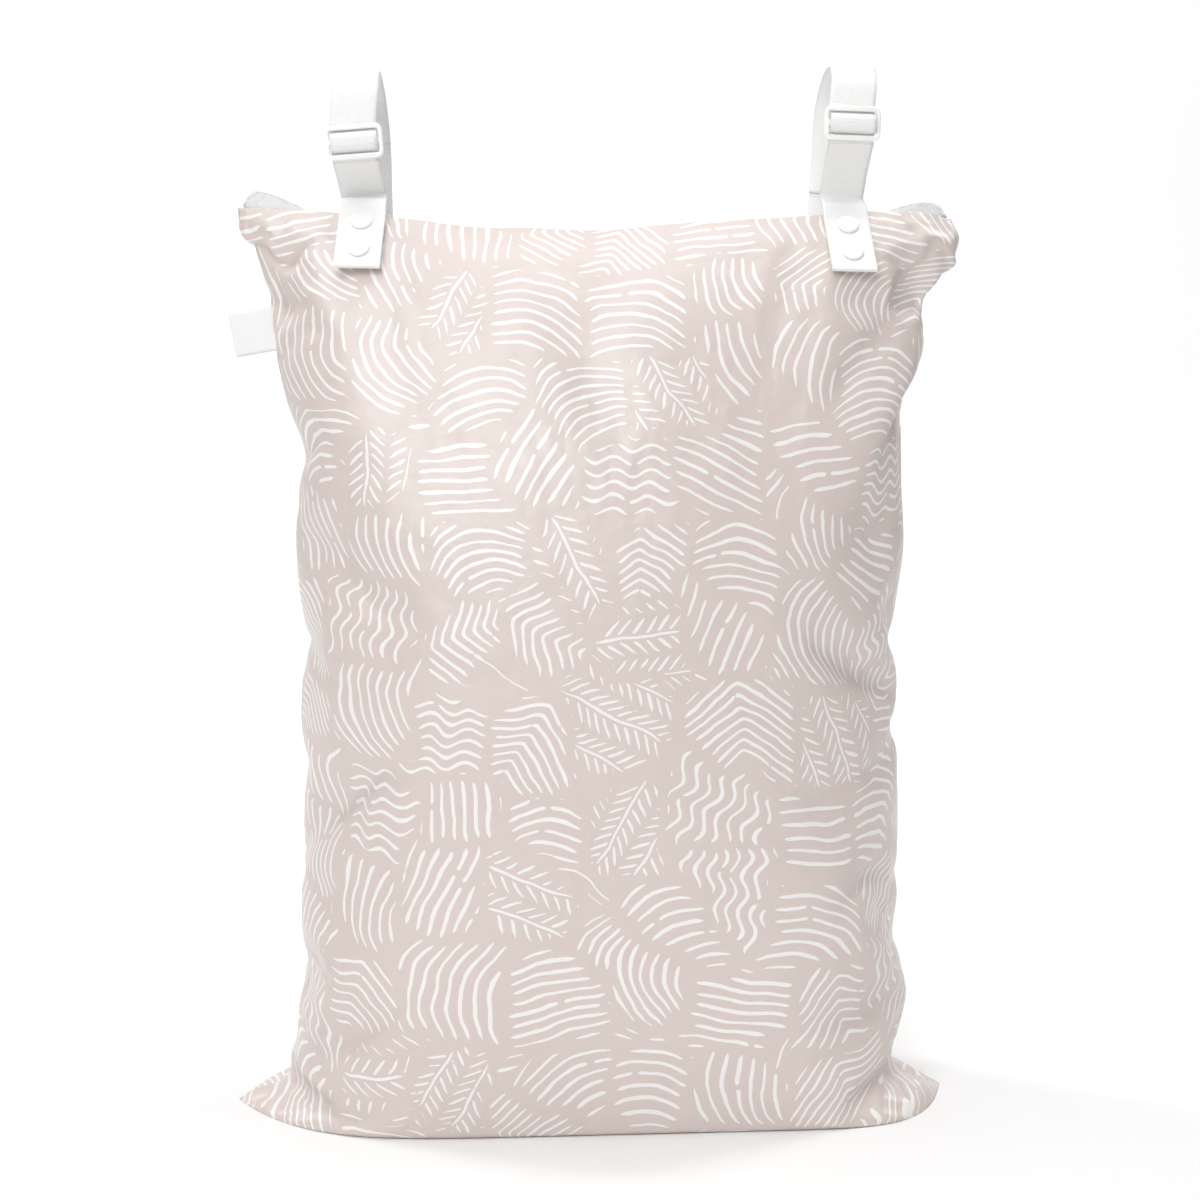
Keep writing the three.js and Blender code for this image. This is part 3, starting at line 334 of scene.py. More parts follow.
def stuffed(points):
    """The shell's points after the cloth has settled over a light stuffing."""
    shell = mesh_object("bag_shell", points / 1000, shell_faces())
    for name, weights in (("held", held), ("taut", taut)):
        group = shell.vertex_groups.new(name=name)
        for i, weight in enumerate(weights):
            group.add([i], float(weight), "REPLACE")
    cloth = shell.modifiers.new("cloth", "CLOTH")
    settings = cloth.settings
    settings.quality = 6
    settings.mass = 0.2
    settings.tension_stiffness = settings.compression_stiffness = 25
    settings.shear_stiffness = 6
    settings.bending_stiffness = 0.5
    settings.tension_damping = settings.compression_damping = settings.shear_damping = 8
    settings.air_damping = 2
    settings.use_pressure = True
    settings.uniform_pressure_force = STUFFING_PRESSURE
    settings.vertex_group_mass = "held"
    settings.vertex_group_shrink = "taut"
    settings.shrink_min = -MOST_SLACK
    settings.shrink_max = 0
    settings.effector_weights.gravity = 0
    cloth.collision_settings.use_collision = False
    for number in range(1, SIMULATED_FRAMES + 1):
        bpy.context.scene.frame_set(number)
    settled = shell.evaluated_get(bpy.context.evaluated_depsgraph_get())
    moved = np.empty(len(points) * 3)
    settled.data.vertices.foreach_get("co", moved)
    bpy.context.scene.frame_set(1)
    bpy.data.objects.remove(shell)
    shift = moved.reshape(-1, 3) * 1000 - points
    size = np.linalg.norm(shift, axis=1, keepdims=True)
    shift *= FARTHEST_MOVE * np.tanh(size / FARTHEST_MOVE) / np.maximum(size, 1e-9)
    # The swelling draws the side seams in. They are let out again, row by row, and only their puckers stay.
    spread = np.exp(-np.square(np.arange(-24, 25) / SMOOTHED_ROWS))
    drawn_in = np.zeros(len(points))
    for column in (0, -1):
        pull = np.pad(shift[front_index[:, column], 0], 24, mode="edge")
        pull = np.convolve(pull, spread / spread.sum(), "valid")
        height = points[front_index[:, column], 2]
        pull *= np.clip((TOP_HEIGHT - height) / FADE_AT_TOP, 0, 1) * np.clip(height / FADE_AT_FLOOR, 0, 1)
        half = slice(0, GRID_COLUMNS // 2) if column == 0 else slice(GRID_COLUMNS // 2, None)
        for index in (front_index, back_index):
            drawn_in[index[:, half]] = pull[:, None] * np.abs(cloth_shares[half])
    shift[:, 0] -= drawn_in
    shift[:, 1] *= SWELLING_KEPT + (1 - SWELLING_KEPT) * seam_share ** 2
    return points + shift


settled_points = stuffed(shell_points)


class Wire:
    """A value that runs through a material's nodes, for use in Python sums."""

    def __init__(self, finish, output):
        self.finish = finish
        self.output = output

    def __add__(self, other):
        return self.finish.maths("ADD", self, other)

    def __sub__(self, other):
        return self.finish.maths("SUBTRACT", self, other)

    def __rsub__(self, other):
        return self.finish.maths("SUBTRACT", other, self)

    def __mul__(self, other):
        return self.finish.maths("MULTIPLY", self, other)

    def __truediv__(self, other):
        return self.finish.maths("DIVIDE", self, other)

    def __rtruediv__(self, other):
        return self.finish.maths("DIVIDE", other, self)

    def __abs__(self):
        return self.finish.maths("ABSOLUTE", self)

    __radd__ = __add__
    __rmul__ = __mul__


class Finish:
    """A material: its node tree and the sums that are made in it."""

    def __init__(self, name, roughness, **constants):
        self.material = bpy.data.materials.new(name)
        self.material.use_nodes = True
        self.nodes = self.material.node_tree.nodes
        self.links = self.material.node_tree.links
        self.shader = self.nodes["Principled BSDF"]
        self.shader.inputs["Roughness"].default_value = roughness
        for socket, value in constants.items():
            self.shader.inputs[socket.replace("_", " ")].default_value = value

    def node(self, kind, settings, inputs, output=0):
        made = self.nodes.new(kind)
        for setting, value in settings.items():
            setattr(made, setting, value)
        pairs = inputs.items() if isinstance(inputs, dict) else enumerate(inputs)
        for socket, value in pairs:
            if isinstance(value, Wire):
                self.links.new(value.output, made.inputs[socket])
            else:
                made.inputs[socket].default_value = value
        return Wire(self, made.outputs[output])

    def maths(self, operation, *values):
        return self.node("ShaderNodeMath", {"operation": operation}, values)

    def clamped(self, value):
        return self.node("ShaderNodeMath", {"operation": "ADD", "use_clamp": True}, [value, 0.0])

    def split(self, vector):
        made = self.node("ShaderNodeSeparateXYZ", {}, [vector]).output.node
        return [Wire(self, output) for output in made.outputs]

    def joined(self, x, y):
        return self.node("ShaderNodeCombineXYZ", {}, [x, y])

    def noise(self, vector, scale, detail=2.0):
        inputs = {"Vector": vector, "Scale": scale, "Detail": detail}
        return self.node("ShaderNodeTexNoise", {}, inputs, "Fac")

    def blended(self, factor, first, second):
        settings = {"data_type": "RGBA", "blend_type": "MIX"}
        return self.node("ShaderNodeMix", settings, {0: factor, 6: first, 7: second}, 2)

    def feed(self, socket, wire):
        self.links.new(wire.output, self.shader.inputs[socket])

    def bump(self, height, strength, distance):
        inputs = {"Strength": strength, "Distance": distance, "Height": height}
        self.feed("Normal", self.node("ShaderNodeBump", {}, inputs))

    def flat_millimetres(self):
        place = self.node("ShaderNodeUVMap", {"uv_map": "flat"}, [])
        return self.node("ShaderNodeVectorMath", {"operation": "SCALE"}, {0: place, 3: 1000.0})


PATCH_SIZE = 47.0
SPRIG_WIDTH = 10.5
CLOTH_COLOURS = ((0.658, 0.566, 0.526, 1), (0.71, 0.614, 0.572, 1))
INK_COLOUR = (0.9, 0.885, 0.87, 1)


def printed_cloth():
    """Pale rose-grey coated cloth with bundles of white brush strokes, drawn in the flat cloth's millimetres."""
    finish = Finish("printed_cloth", 0.32, Specular_IOR_Level=0.9)
    flat = finish.flat_millimetres()
    # The hand's slow sway and small tremble bend every line a little.
    sway = finish.node("ShaderNodeTexNoise", {}, {"Vector": flat, "Scale": 0.035, "Detail": 1.0}, "Color")
    tremble = finish.node("ShaderNodeTexNoise", {}, {"Vector": flat, "Scale": 0.16, "Detail": 1.0}, "Color")
    sway_x, sway_y, _ = finish.split(sway)
    tremble_x, tremble_y, _ = finish.split(tremble)
    x, y, _ = finish.split(flat)
    x = x + (sway_x - 0.5) * 8.0 + (tremble_x - 0.5) * 0.9
    y = y + (sway_y - 0.5) * 8.0 + (tremble_y - 0.5) * 0.9
    # The cloth is divided into patches, each with its own middle and its own three chances.
    place = finish.joined(x / PATCH_SIZE, y / PATCH_SIZE)
    cells = {"voronoi_dimensions": "2D", "distance": "CHEBYCHEV"}
    values = {"Vector": place, "Scale": 1.0, "Randomness": 0.72}
    nearest = finish.node("ShaderNodeTexVoronoi", {**cells, "feature": "F1"}, values)
    centre = Wire(finish, nearest.output.node.outputs["Position"])
    chance = Wire(finish, nearest.output.node.outputs["Color"])
    second = finish.node("ShaderNodeTexVoronoi", {**cells, "feature": "F2"}, values)
    inside = (second - nearest) * (PATCH_SIZE / 2)
    lean, way, motif = finish.split(chance)
    centre_x, centre_y, _ = finish.split(centre)
    dx = x - centre_x * PATCH_SIZE
    dy = y - centre_y * PATCH_SIZE
    turn = finish.maths("FLOOR", way * 2.0) * (math.pi / 2) + (lean - 0.5) * 1.1
    cosine = finish.maths("COSINE", turn)
    sine = finish.maths("SINE", turn)
    along = dx * cosine + dy * sine
    beside = dy * cosine - dx * sine
    # A patch holds one of six kinds of bundle: straight, bowed (twice), wavy, a leafy sprig, or bent in a point.
    kind = finish.maths("FLOOR", motif * 6.0)

    def only(number):
        return finish.maths("COMPARE", kind, number, 0.5)

    other = finish.maths("FRACT", lean * 7.31)
    sprig_along = finish.maths("ABSOLUTE", finish.maths("WRAP", along, SPRIG_WIDTH, -SPRIG_WIDTH))
    sprig = only(3.0)
    bow = along * along / (other * 40.0 + 42.0)
    ripple = finish.maths("SINE", along * 0.33 + lean * 6.0) * 2.0
    arrow = finish.maths("SQRT", along * along + 3.0) * 0.75
    bent = beside + bow * (only(1.0) + only(4.0)) + ripple * only(2.0) + arrow * only(5.0)
    bent = bent + sprig_along * sprig * 0.95
    pitch = other * 1.5 + 5.6
    line = finish.maths("ROUND", bent / pitch)
    off = abs(bent - line * pitch)
    # Each stroke has its own length and thickness, and one in five has a gap.
    dice = finish.node(
        "ShaderNodeTexWhiteNoise", {"noise_dimensions": "2D"}, [finish.joined(line, lean * 91.0)], "Color"
    )
    first_dice, second_dice, third_dice = finish.split(dice)
    end = finish.clamped((inside - 0.5 - first_dice * 3.2) / 2.2)
    break_place = (third_dice - 0.5) * 26.0
    whole = finish.maths("GREATER_THAN", first_dice, 0.2)
    broken = finish.clamped((abs(along - break_place) - 1.3) / 1.2 + only(3.0) + only(5.0) + whole * 3.0)
    leaf = finish.clamped((9.3 - sprig_along) / 2.5) * finish.clamped((sprig_along - 1.7) / 1.0)
    leaf = 1 - sprig * (1 - leaf)
    swell = finish.noise(flat, 0.09, 1.0) * 0.5 + 0.75
    half = (second_dice * 0.36 + 0.78) * swell * finish.maths("SQRT", end * broken * leaf)
    stroke = finish.clamped((half - off) / 0.16 + 0.35) * finish.clamped(half * 6.0)
    stem_half = finish.maths("SQRT", finish.clamped((inside - 3.0) / 3.0)) * 0.7 * sprig
    stem = finish.clamped((stem_half - sprig_along) / 0.16 + 0.35) * finish.clamped(stem_half * 6.0)
    ink = finish.maths("MAXIMUM", stroke, stem)
    cloud = finish.noise(flat, 0.012, 2.0)
    cloth = finish.blended(cloud, *CLOTH_COLOURS)
    finish.feed("Base Color", finish.blended(ink * 0.93, cloth, INK_COLOUR))
    finish.feed("Roughness", 0.28 + finish.noise(flat, 0.05, 3.0) * 0.12 - ink * 0.03)
    # The weave's threads are very fine under the coating, and the cloth is slightly crumpled.
    warp = finish.maths("SINE", x * 11.0)
    weft = finish.maths("SINE", y * 11.0)
    crumple = finish.noise(flat, 0.028, 3.0) * 1.6 + finish.noise(flat, 0.11, 2.0) * 0.35
    finish.bump(crumple + warp * weft * 0.012, 0.65, 0.0024)
    return finish.material


def applied(piece):
    """Turns a piece's modifiers into its own mesh."""
    graph = bpy.context.evaluated_depsgraph_get()
    mesh = bpy.data.meshes.new_from_object(piece.evaluated_get(graph), depsgraph=graph)
    piece.modifiers.clear()
    old = piece.data
    piece.data = mesh
    bpy.data.meshes.remove(old)
    piece.data.name = piece.name
    return piece


def flat_layer(piece, places):
    layer = piece.data.uv_layers.new(name="flat")
    corners = np.empty(len(piece.data.loops), int)
    piece.data.loops.foreach_get("vertex_index", corners)
    layer.data.foreach_set("uv", places[corners].astype(np.float32).ravel())


# The top edge is turned in round the zip's tape: inward, up, and how much flat cloth has been passed.
TURNED_EDGE = ((0.5, 0.55, 0.8), (1.4, 0.45, 1.8), (1.9, -1.0, 3.2), (1.9, -6.0, 8.2))


def panel_piece(name, index, side, print_shift):
    faces = [list(dict.fromkeys(int(i) for i in f)) for f in grid_faces(index, side > 0)]
    points, flat = list(settled_points), list(shell_flat)
    last = index[-1]
    for inward, up, passed in TURNED_EDGE:
        start = len(points)
        points += [settled_points[i] + (0, -side * inward, up) for i in index[-1]]
        flat += [shell_flat[i] + (0, passed) for i in index[-1]]
        row = np.arange(start, start + GRID_COLUMNS)
        faces += [list(f) for f in grid_faces(np.stack([last, row]), side > 0)]
        last = row
    faces = [face for face in faces if len(face) > 2]
    kept = sorted({i for face in faces for i in face})
    renumbered = {old: new for new, old in enumerate(kept)}
    faces = [[renumbered[i] for i in face] for face in faces]
    piece = mesh_object(name, np.array(points)[kept] / 1000, faces)
    flat_layer(piece, np.array(flat)[kept] / 1000 + (print_shift, 0))
    finer = piece.modifiers.new("finer", "SUBSURF")
    finer.levels = finer.render_levels = 1
    finer.boundary_smooth = "PRESERVE_CORNERS"
    return applied(piece)


def belongs(piece, node, finish):
    """Gives a piece its finish, and puts it in the place of its node."""
    piece.data.materials.append(finish)
    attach(piece, "root")
    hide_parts(node)
    return piece


cloth_finish = printed_cloth()
for name, index, side, print_shift, node in (
    ("front_cloth", front_index, -1, 0.0, "front_panel"),
    ("back_cloth", back_index, 1, 0.7, "back_panel"),
):
    cloth_piece = belongs(panel_piece(name, index, side, print_shift), node, cloth_finish)

# The zip
# A closed coil zip: two woven tapes sewn inside the panels' top edges, a row of interlocked nylon teeth
# between them, and a moulded slider with a flat pull, parked near the left end. The left end bunches up.
TEETH_WIDTH = 5.0
TEETH_THICKNESS = 1.8
TOOTH_PITCH = 1.5
TAPE_THICKNESS = 0.7
TOOTH_SIZE = (1.24, 3.9, 1.7)
TOOTH_BEVEL = 0.42
# The zip hangs between the edges, and stands up at both ends of the mouth.
ZIP_SAG = 1.4
ZIP_RISE_LEFT = 9.5
ZIP_RISE_RIGHT = 6.5
ZIP_CORNER = 0.76
ZIP_END = 3.0
SLIDER_SHARE = -0.69
SLIDER_LENGTH = 11.0
PULL_LENGTH = 22.0
PULL_WIDTH = 7.0


def smoothstep(value, low, high):
    part = np.clip((value - low) / (high - low), 0, 1)
    return part * part * (3 - 2 * part)


def zip_line(share):
    share = np.asarray(share, float)
    edge = top_edge(-1, share)
    cornered = smoothstep(np.abs(share), ZIP_CORNER, 0.95) * (1 - 0.7 * smoothstep(np.abs(share), 0.955, 0.99))
    rise = np.where(share < 0, ZIP_RISE_LEFT, ZIP_RISE_RIGHT)
    height = edge[..., 2] - ZIP_SAG + (ZIP_SAG + rise) * cornered
    return np.stack([edge[..., 0], np.zeros_like(share), height], -1)


zip_end = 1 - ZIP_END / HALF_WIDTH
zip_shares = np.linspace(-zip_end, zip_end, 241)


def ring_faces(first, rings, count, turned=False):
    """The faces between rings of points, each ring following the last, from the given first point on."""
    faces = []
    for ring in range(rings - 1):
        for i in range(count):
            a, b = first + ring * count + i, first + ring * count + (i + 1) % count
            faces.append([a, a + count, b + count, b] if turned else [a, b, b + count, a + count])
    return faces


def ribbon_piece(name, centres, sides, normals, width, thickness, columns):
    """A strip of tape or webbing with rounded edges, and a flat layer of its own across and along it."""
    across = np.linspace(-1, 1, columns + 1)
    top = [(a, 1 - 0.35 * (abs(a) == 1)) for a in across]
    ring = top + [(a, -b) for a, b in reversed(top)]
    count = len(ring)
    points, places = [], []
    for centre, side, normal, length in zip(centres, sides, normals, arc_lengths(centres)):
        for a, b in ring:
            points.append(centre + side * a * width / 2 + normal * (b * thickness / 2))
            places.append((a * width / 2 + (60 if b < 0 else 0), length))
    faces = ring_faces(0, len(centres), count, turned=True)
    final = (len(centres) - 1) * count
    faces += [list(range(count)), list(range(final + count - 1, final - 1, -1))]
    piece = mesh_object(name, np.array(points) / 1000, faces)
    flat_layer(piece, np.array(places) / 1000)
    return piece


def woven_white(name, colour, groove_shade_colour, pitch, across_pitch, depth, roughness=0.75):
    """White yarn: ribs across the strip, with a fine thread pattern along them, and painted shade in the grooves
    between the ribs and threads.
    """
    finish = Finish(name, roughness, Sheen_Weight=0.25, Sheen_Roughness=0.5)
    x, y, _ = finish.split(finish.flat_millimetres())
    rib = finish.maths("SINE", y * (2 * math.pi / pitch)) * 0.5 + 0.5
    row = finish.maths("FLOOR", y / pitch)
    thread = finish.maths("SINE", x * (2 * math.pi / across_pitch) + row * math.pi) * 0.5 + 0.5
    height = finish.maths("SQRT", rib) * (thread * 0.35 + 0.65)
    fuzz = finish.noise(finish.joined(x, y), 1.3, 3.0)
    # The colour darkens towards the shade colour where the ribs and threads sink. This is painted shade in their
    # grooves, plus a random tone from the fuzz.
    painted_groove_shade = finish.clamped(height * 0.8 + fuzz * 0.25)
    finish.feed("Base Color", finish.blended(painted_groove_shade, groove_shade_colour, colour))
    finish.feed("Roughness", roughness + fuzz * 0.1)
    finish.bump(height + fuzz * 0.2, 0.7, depth)
    return finish.material


# The second colour is the painted shade in the weave's grooves.
tape_finish = woven_white("zip_tape_weave", (0.88, 0.88, 0.885, 1), (0.72, 0.72, 0.73, 1), 0.7, 0.7, 0.00015)
for side, node in ((-1, "zipper_tape_front"), (1, "zipper_tape_back")):
    edge = top_edge(side, zip_shares)
    line = zip_line(zip_shares)
    corner = smoothstep(np.abs(zip_shares), 0.8, 1)
    low = edge + np.stack([0 * zip_shares, -side * 2.3 + 0 * zip_shares, -1.5 + 0 * zip_shares], -1)
    high = line.copy()
    high[:, 1] = side * (TEETH_WIDTH / 2 - 0.4)
    high[:, 2] -= 0.3
    # It starts under the turned-in cloth, and its free edge carries the teeth.
    crossings = []
    for part in np.linspace(0, 1, 9):
        crossing = low * (1 - part) + high * part
        wave = np.sin(zip_shares * 95 + side) * corner * 0.7 * math.sin(math.pi * part)
        crossing[:, 2] += 0.8 * math.sin(math.pi * part) + wave
        crossing[:, 1] += side * wave
        crossings.append(crossing)
    crossings = np.array(crossings)
    rows, columns = crossings.shape[:2]
    upward = np.cross(np.gradient(crossings, axis=1), np.gradient(crossings, axis=0)) * side
    upward /= np.linalg.norm(upward, axis=2, keepdims=True)
    upward *= np.sign(upward[..., 2:3])
    layers = np.concatenate([crossings + upward * TAPE_THICKNESS / 2, crossings - upward * TAPE_THICKNESS / 2])
    grid = np.arange(rows * columns).reshape(rows, columns)
    under = grid + rows * columns
    rim = np.concatenate([grid[0], grid[1:, -1], grid[-1, -2::-1], grid[-2:0:-1, 0]])
    faces = [list(f) for f in grid_faces(grid, side > 0)] + [list(f) for f in grid_faces(under, side < 0)]
    for a, b in zip(rim, np.roll(rim, -1)):
        quad = [a, b, b + rows * columns, a + rows * columns]
        faces.append(quad if side > 0 else quad[::-1])
    tape = mesh_object(node.replace("zipper", "woven"), layers.reshape(-1, 3) / 1000, faces)
    run = arc_lengths(line)
    places = np.stack(np.meshgrid(run, np.linspace(0, 10, rows)), -1).reshape(-1, 2)
    flat_layer(tape, np.concatenate([places, places + (0, 60)]) / 1000)
    belongs(tape, node, tape_finish)


def moulded_white(name, colour, roughness, grain=0.00003):
    """White plastic from a mould, with a very slight orange-peel surface."""
    finish = Finish(name, roughness, Coat_Weight=0.15, Coat_Roughness=0.15)
    place = finish.node("ShaderNodeTexCoord", {}, [], "Object")
    peel = finish.noise(place, 900.0, 2.0)
    cloud = finish.noise(place, 60.0, 2.0)
    finish.feed("Base Color", finish.blended(cloud, tuple(c * 0.965 for c in colour[:3]) + (1,), colour))
    finish.feed("Roughness", roughness + peel * 0.08)
    finish.bump(peel, 0.4, grain)
    return finish.material


# One tooth is a short rounded bar. Teeth of the two sides alternate, and each reaches past the middle.
BOX_FACES = ((0, 2, 3, 1), (4, 5, 7, 6), (0, 1, 5, 4), (2, 6, 7, 3), (0, 4, 6, 2), (1, 3, 7, 5))
length, width, height = TOOTH_SIZE
tooth_corners = [(x * length, y * width, z * height) for z in (-0.5, 0.5) for y in (-0.5, 0.5) for x in (-0.5, 0.5)]
tooth = mesh_object("tooth", tooth_corners, BOX_FACES)
bevel = tooth.modifiers.new("bevel", "BEVEL")
bevel.width = TOOTH_BEVEL
bevel.segments = 2
bevel.limit_method = "ANGLE"
tooth = applied(tooth)
tooth_points = np.array([v.co for v in tooth.data.vertices])
tooth_faces = [list(p.vertices) for p in tooth.data.polygons]
bpy.data.objects.remove(tooth)
line = zip_line(np.linspace(-zip_end, zip_end, 1200))
run = arc_lengths(line)
teeth_points, teeth_faces = [], []
for count, distance in enumerate(np.arange(1.5, run[-1] - 1.5, TOOTH_PITCH / 2)):
    centre = np.array([np.interp(distance, run, line[:, axis]) for axis in range(3)])
    ahead = np.array([np.interp(distance + 0.5, run, line[:, axis]) for axis in range(3)]) - centre
    ahead /= np.linalg.norm(ahead)
    upward = np.cross(ahead, (0, 1, 0))
    side = 1 if count % 2 else -1
    placed = (
        centre + tooth_points[:, :1] * 0.9 * ahead + (tooth_points[:, 1:2] * 0.72 + side * 1.05) * (0, 1, 0)
        + tooth_points[:, 2:] * upward
    )
    teeth_faces += [[i + len(teeth_points) * len(tooth_points) for i in face] for face in tooth_faces]
    teeth_points.append(placed)
teeth_finish = moulded_white("nylon_teeth", (0.86, 0.86, 0.865, 1), 0.35)
teeth = mesh_object("nylon_teeth", np.concatenate(teeth_points) / 1000, teeth_faces)
belongs(teeth, "zipper_teeth", teeth_finish)


def offset_loop(loop, inset):
    """A closed outline moved inward all round by the inset."""
    ahead = np.roll(loop, -1, axis=0) - loop
    ahead /= np.linalg.norm(ahead, axis=1, keepdims=True)
    left = np.stack([-ahead[:, 1], ahead[:, 0]], -1)
    before = np.roll(left, 1, axis=0)
    return loop + (left + before) / (1 + (left * before).sum(axis=1))[:, None] * inset


def counterclockwise(loop):
    loop = np.asarray(loop, float)
    after = np.roll(loop, -1, axis=0)
    area = (loop[:, 0] * after[:, 1] - loop[:, 1] * after[:, 0]).sum()
    return loop if area > 0 else loop[::-1]


CORNER_STEPS = 6
EDGE_STEPS = 4


def rounded_box(x0, y0, x1, y1, radius):
    points = []
    for cx, cy, turn in ((x1, y0, -90), (x1, y1, 0), (x0, y1, 90), (x0, y0, 180)):
        middle = np.array((cx - math.copysign(radius, cx - (x0 + x1) / 2),
                           cy - math.copysign(radius, cy - (y0 + y1) / 2)))
        angles = np.radians(turn + np.linspace(0, 90, CORNER_STEPS + 1))
        points += list(middle + radius * np.stack([np.cos(angles), np.sin(angles)], -1))
    return points


def plate_piece(name, outline, holes, thickness, roundness):
    """A moulded plate from z = 0 up, with every edge rounded. Its outline and holes are in millimetres."""
    loops = [counterclockwise(outline)] + [counterclockwise(hole)[::-1] for hole in holes]
    quarter = np.linspace(0, math.pi / 2, EDGE_STEPS + 1)
    profile = [(roundness * (1 - math.sin(a)), roundness * (1 - math.cos(a))) for a in quarter]
    profile += [(inset, thickness - height) for inset, height in reversed(profile)]
    points, faces, lids = [], [], ([], [])
    for loop in loops:
        start, count = len(points), len(loop)
        for inset, height in profile:
            points += [(x, y, height) for x, y in offset_loop(loop, inset)]
        faces += ring_faces(start, len(profile), count)
        lids[0].append(list(range(start, start + count)))
        top = start + (len(profile) - 1) * count
        lids[1].append(list(range(top, top + count)))
    for lid, upward in zip(lids, (False, True)):
        order = [i for ring in lid for i in ring]
        for triangle in tessellate_polygon([[Vector(points[i]) for i in ring] for ring in lid]):
            a, b, c = (order[i] for i in triangle)
            (ax, ay, _), (bx, by, _), (cx, cy, _) = points[a], points[b], points[c]
            turns_left = (bx - ax) * (cy - ay) - (by - ay) * (cx - ax) > 0
            faces.append([a, b, c] if turns_left == upward else [a, c, b])
    return mesh_object(name, np.array(points) / 1000, faces)


def sharpened(piece, degrees):
    """Smooth shading, but for edges that turn by more than the angle."""
    piece.data.shade_smooth()
    piece.data.set_sharp_from_angle(angle=math.radians(degrees))
    return piece


def merged(name, pieces):
    points, faces = [], []
    for piece in pieces:
        start = len(points)
        points += [tuple(v.co) for v in piece.data.vertices]
        faces += [[start + i for i in p.vertices] for p in piece.data.polygons]
        bpy.data.objects.remove(piece)
    return mesh_object(name, points, faces)


def set_down(piece, middle, x_way, y_way, z_way):
    """Moves a piece's own mesh to its place, given in millimetres, and its three directions."""
    turned = Matrix((x_way, y_way, z_way)).transposed().to_4x4()
    turned.translation = Vector(middle) / 1000
    piece.data.transform(turned)
    return piece


# The slider: a tapered body over the teeth with a raised bridge, which holds the pull's bar.
slider_outline = ((-5.5, -2.6), (5.5, -3.5), (5.5, 3.5), (-5.5, 2.6))
slider_body = plate_piece("slider_body", slider_outline, [], 1.6, 0.55)
bridge = plate_piece(
    "bridge", rounded_box(-2.6, 0.2, 2.6, 3.3, 1.0), [rounded_box(-1.3, 1.0, 1.3, 2.1, 0.4)], 2.2, 0.4
)
set_down(bridge, (0, 1.1, 0.8), (1, 0, 0), (0, 0, 1), (0, -1, 0))
slider = merged("moulded_slider", [slider_body, bridge])
pull_holes = [rounded_box(0.6, -1.5, 6.0, 1.5, 0.5), rounded_box(14.5, -1.5, 19.5, 1.5, 1.4)]
pull_outline = rounded_box(-0.6, -PULL_WIDTH / 2, PULL_LENGTH - 0.6, PULL_WIDTH / 2, 2.2)
pull = plate_piece("moulded_pull", pull_outline, pull_holes, 1.2, 0.35)
seat = zip_line(SLIDER_SHARE) + (0, 0, TEETH_THICKNESS / 2 + 0.3)
step = SLIDER_LENGTH / FLAT_WIDTH
slope = zip_line(SLIDER_SHARE + step) - zip_line(SLIDER_SHARE - step)
slope /= np.linalg.norm(slope)
slope_up = np.array((-slope[2], 0, slope[0]))
plastic_finish = moulded_white("moulded_white", (0.94, 0.94, 0.93, 1), 0.3)
set_down(slider, seat, slope, (0, 1, 0), slope_up)
set_down(pull, seat + slope_up * 2.0, slope, (0, 1, 0), slope_up)
belongs(slider, "zipper_slider", plastic_finish)
belongs(pull, "zipper_pull", plastic_finish)

# The side label
# A blank strip of white satin, folded in two, with its ends sewn into the left side seam. It stands out
# square to the seam.
LABEL_WIDTH = 24.0
LABEL_HEIGHT = 25.0
LABEL_THICKNESS = 0.22
LABEL_UP = 0.878
IN_SEAM = 3


def directions_along(points):
    ahead = np.gradient(points, axis=0)
    return ahead / np.linalg.norm(ahead, axis=1, keepdims=True)


seam_low = smooth_point(-1, -1.0, LABEL_UP * TOP_HEIGHT - LABEL_HEIGHT / 2) * (1, 0, 1)
seam_high = smooth_point(-1, -1.0, LABEL_UP * TOP_HEIGHT + LABEL_HEIGHT / 2) * (1, 0, 1)
seam_up = (seam_high - seam_low) / np.linalg.norm(seam_high - seam_low)
seam_out = np.array((-seam_up[2], 0, seam_up[0]))
label_out = np.concatenate([
    np.linspace(-IN_SEAM, LABEL_WIDTH - 0.5, 25), [LABEL_WIDTH - 0.1, LABEL_WIDTH + 0.35, LABEL_WIDTH - 0.1],
    np.linspace(LABEL_WIDTH - 0.5, -IN_SEAM, 25),
])
layer_apart = np.concatenate([
    0.2 + 0.35 * np.linspace(0, 1, 25) ** 2, [0.42, 0.0, -0.42], -0.2 - 0.35 * np.linspace(1, 0, 25) ** 2,
])
wave = 1.1 * np.sin(np.clip(label_out, 0, 99) / LABEL_WIDTH * 3.4) * np.clip(label_out / 12, 0, 1)
label_line = (seam_low + seam_high) / 2 + label_out[:, None] * seam_out
label_line = label_line + (wave - layer_apart)[:, None] * np.array((0, 1, 0))
label_ahead = directions_along(label_line)
label = ribbon_piece(
    "satin_label", label_line, np.tile(seam_up, (len(label_line), 1)), np.cross(label_ahead, seam_up),
    LABEL_HEIGHT, LABEL_THICKNESS, columns=12,
)
satin = Finish("white_satin", 0.38, Sheen_Weight=0.2, Anisotropic=0.5)
x, y, _ = satin.split(satin.flat_millimetres())
threads = satin.noise(satin.joined(x * 9.0, y * 0.6), 1.0, 2.0)
satin.feed("Base Color", satin.blended(threads, (0.84, 0.84, 0.85, 1), (0.9, 0.9, 0.9, 1)))
satin.feed("Roughness", 0.34 + threads * 0.12)
satin.bump(threads + satin.maths("SINE", y * 18.0) * 0.1, 0.25, 0.00006)
belongs(label, "side_label", satin.material)

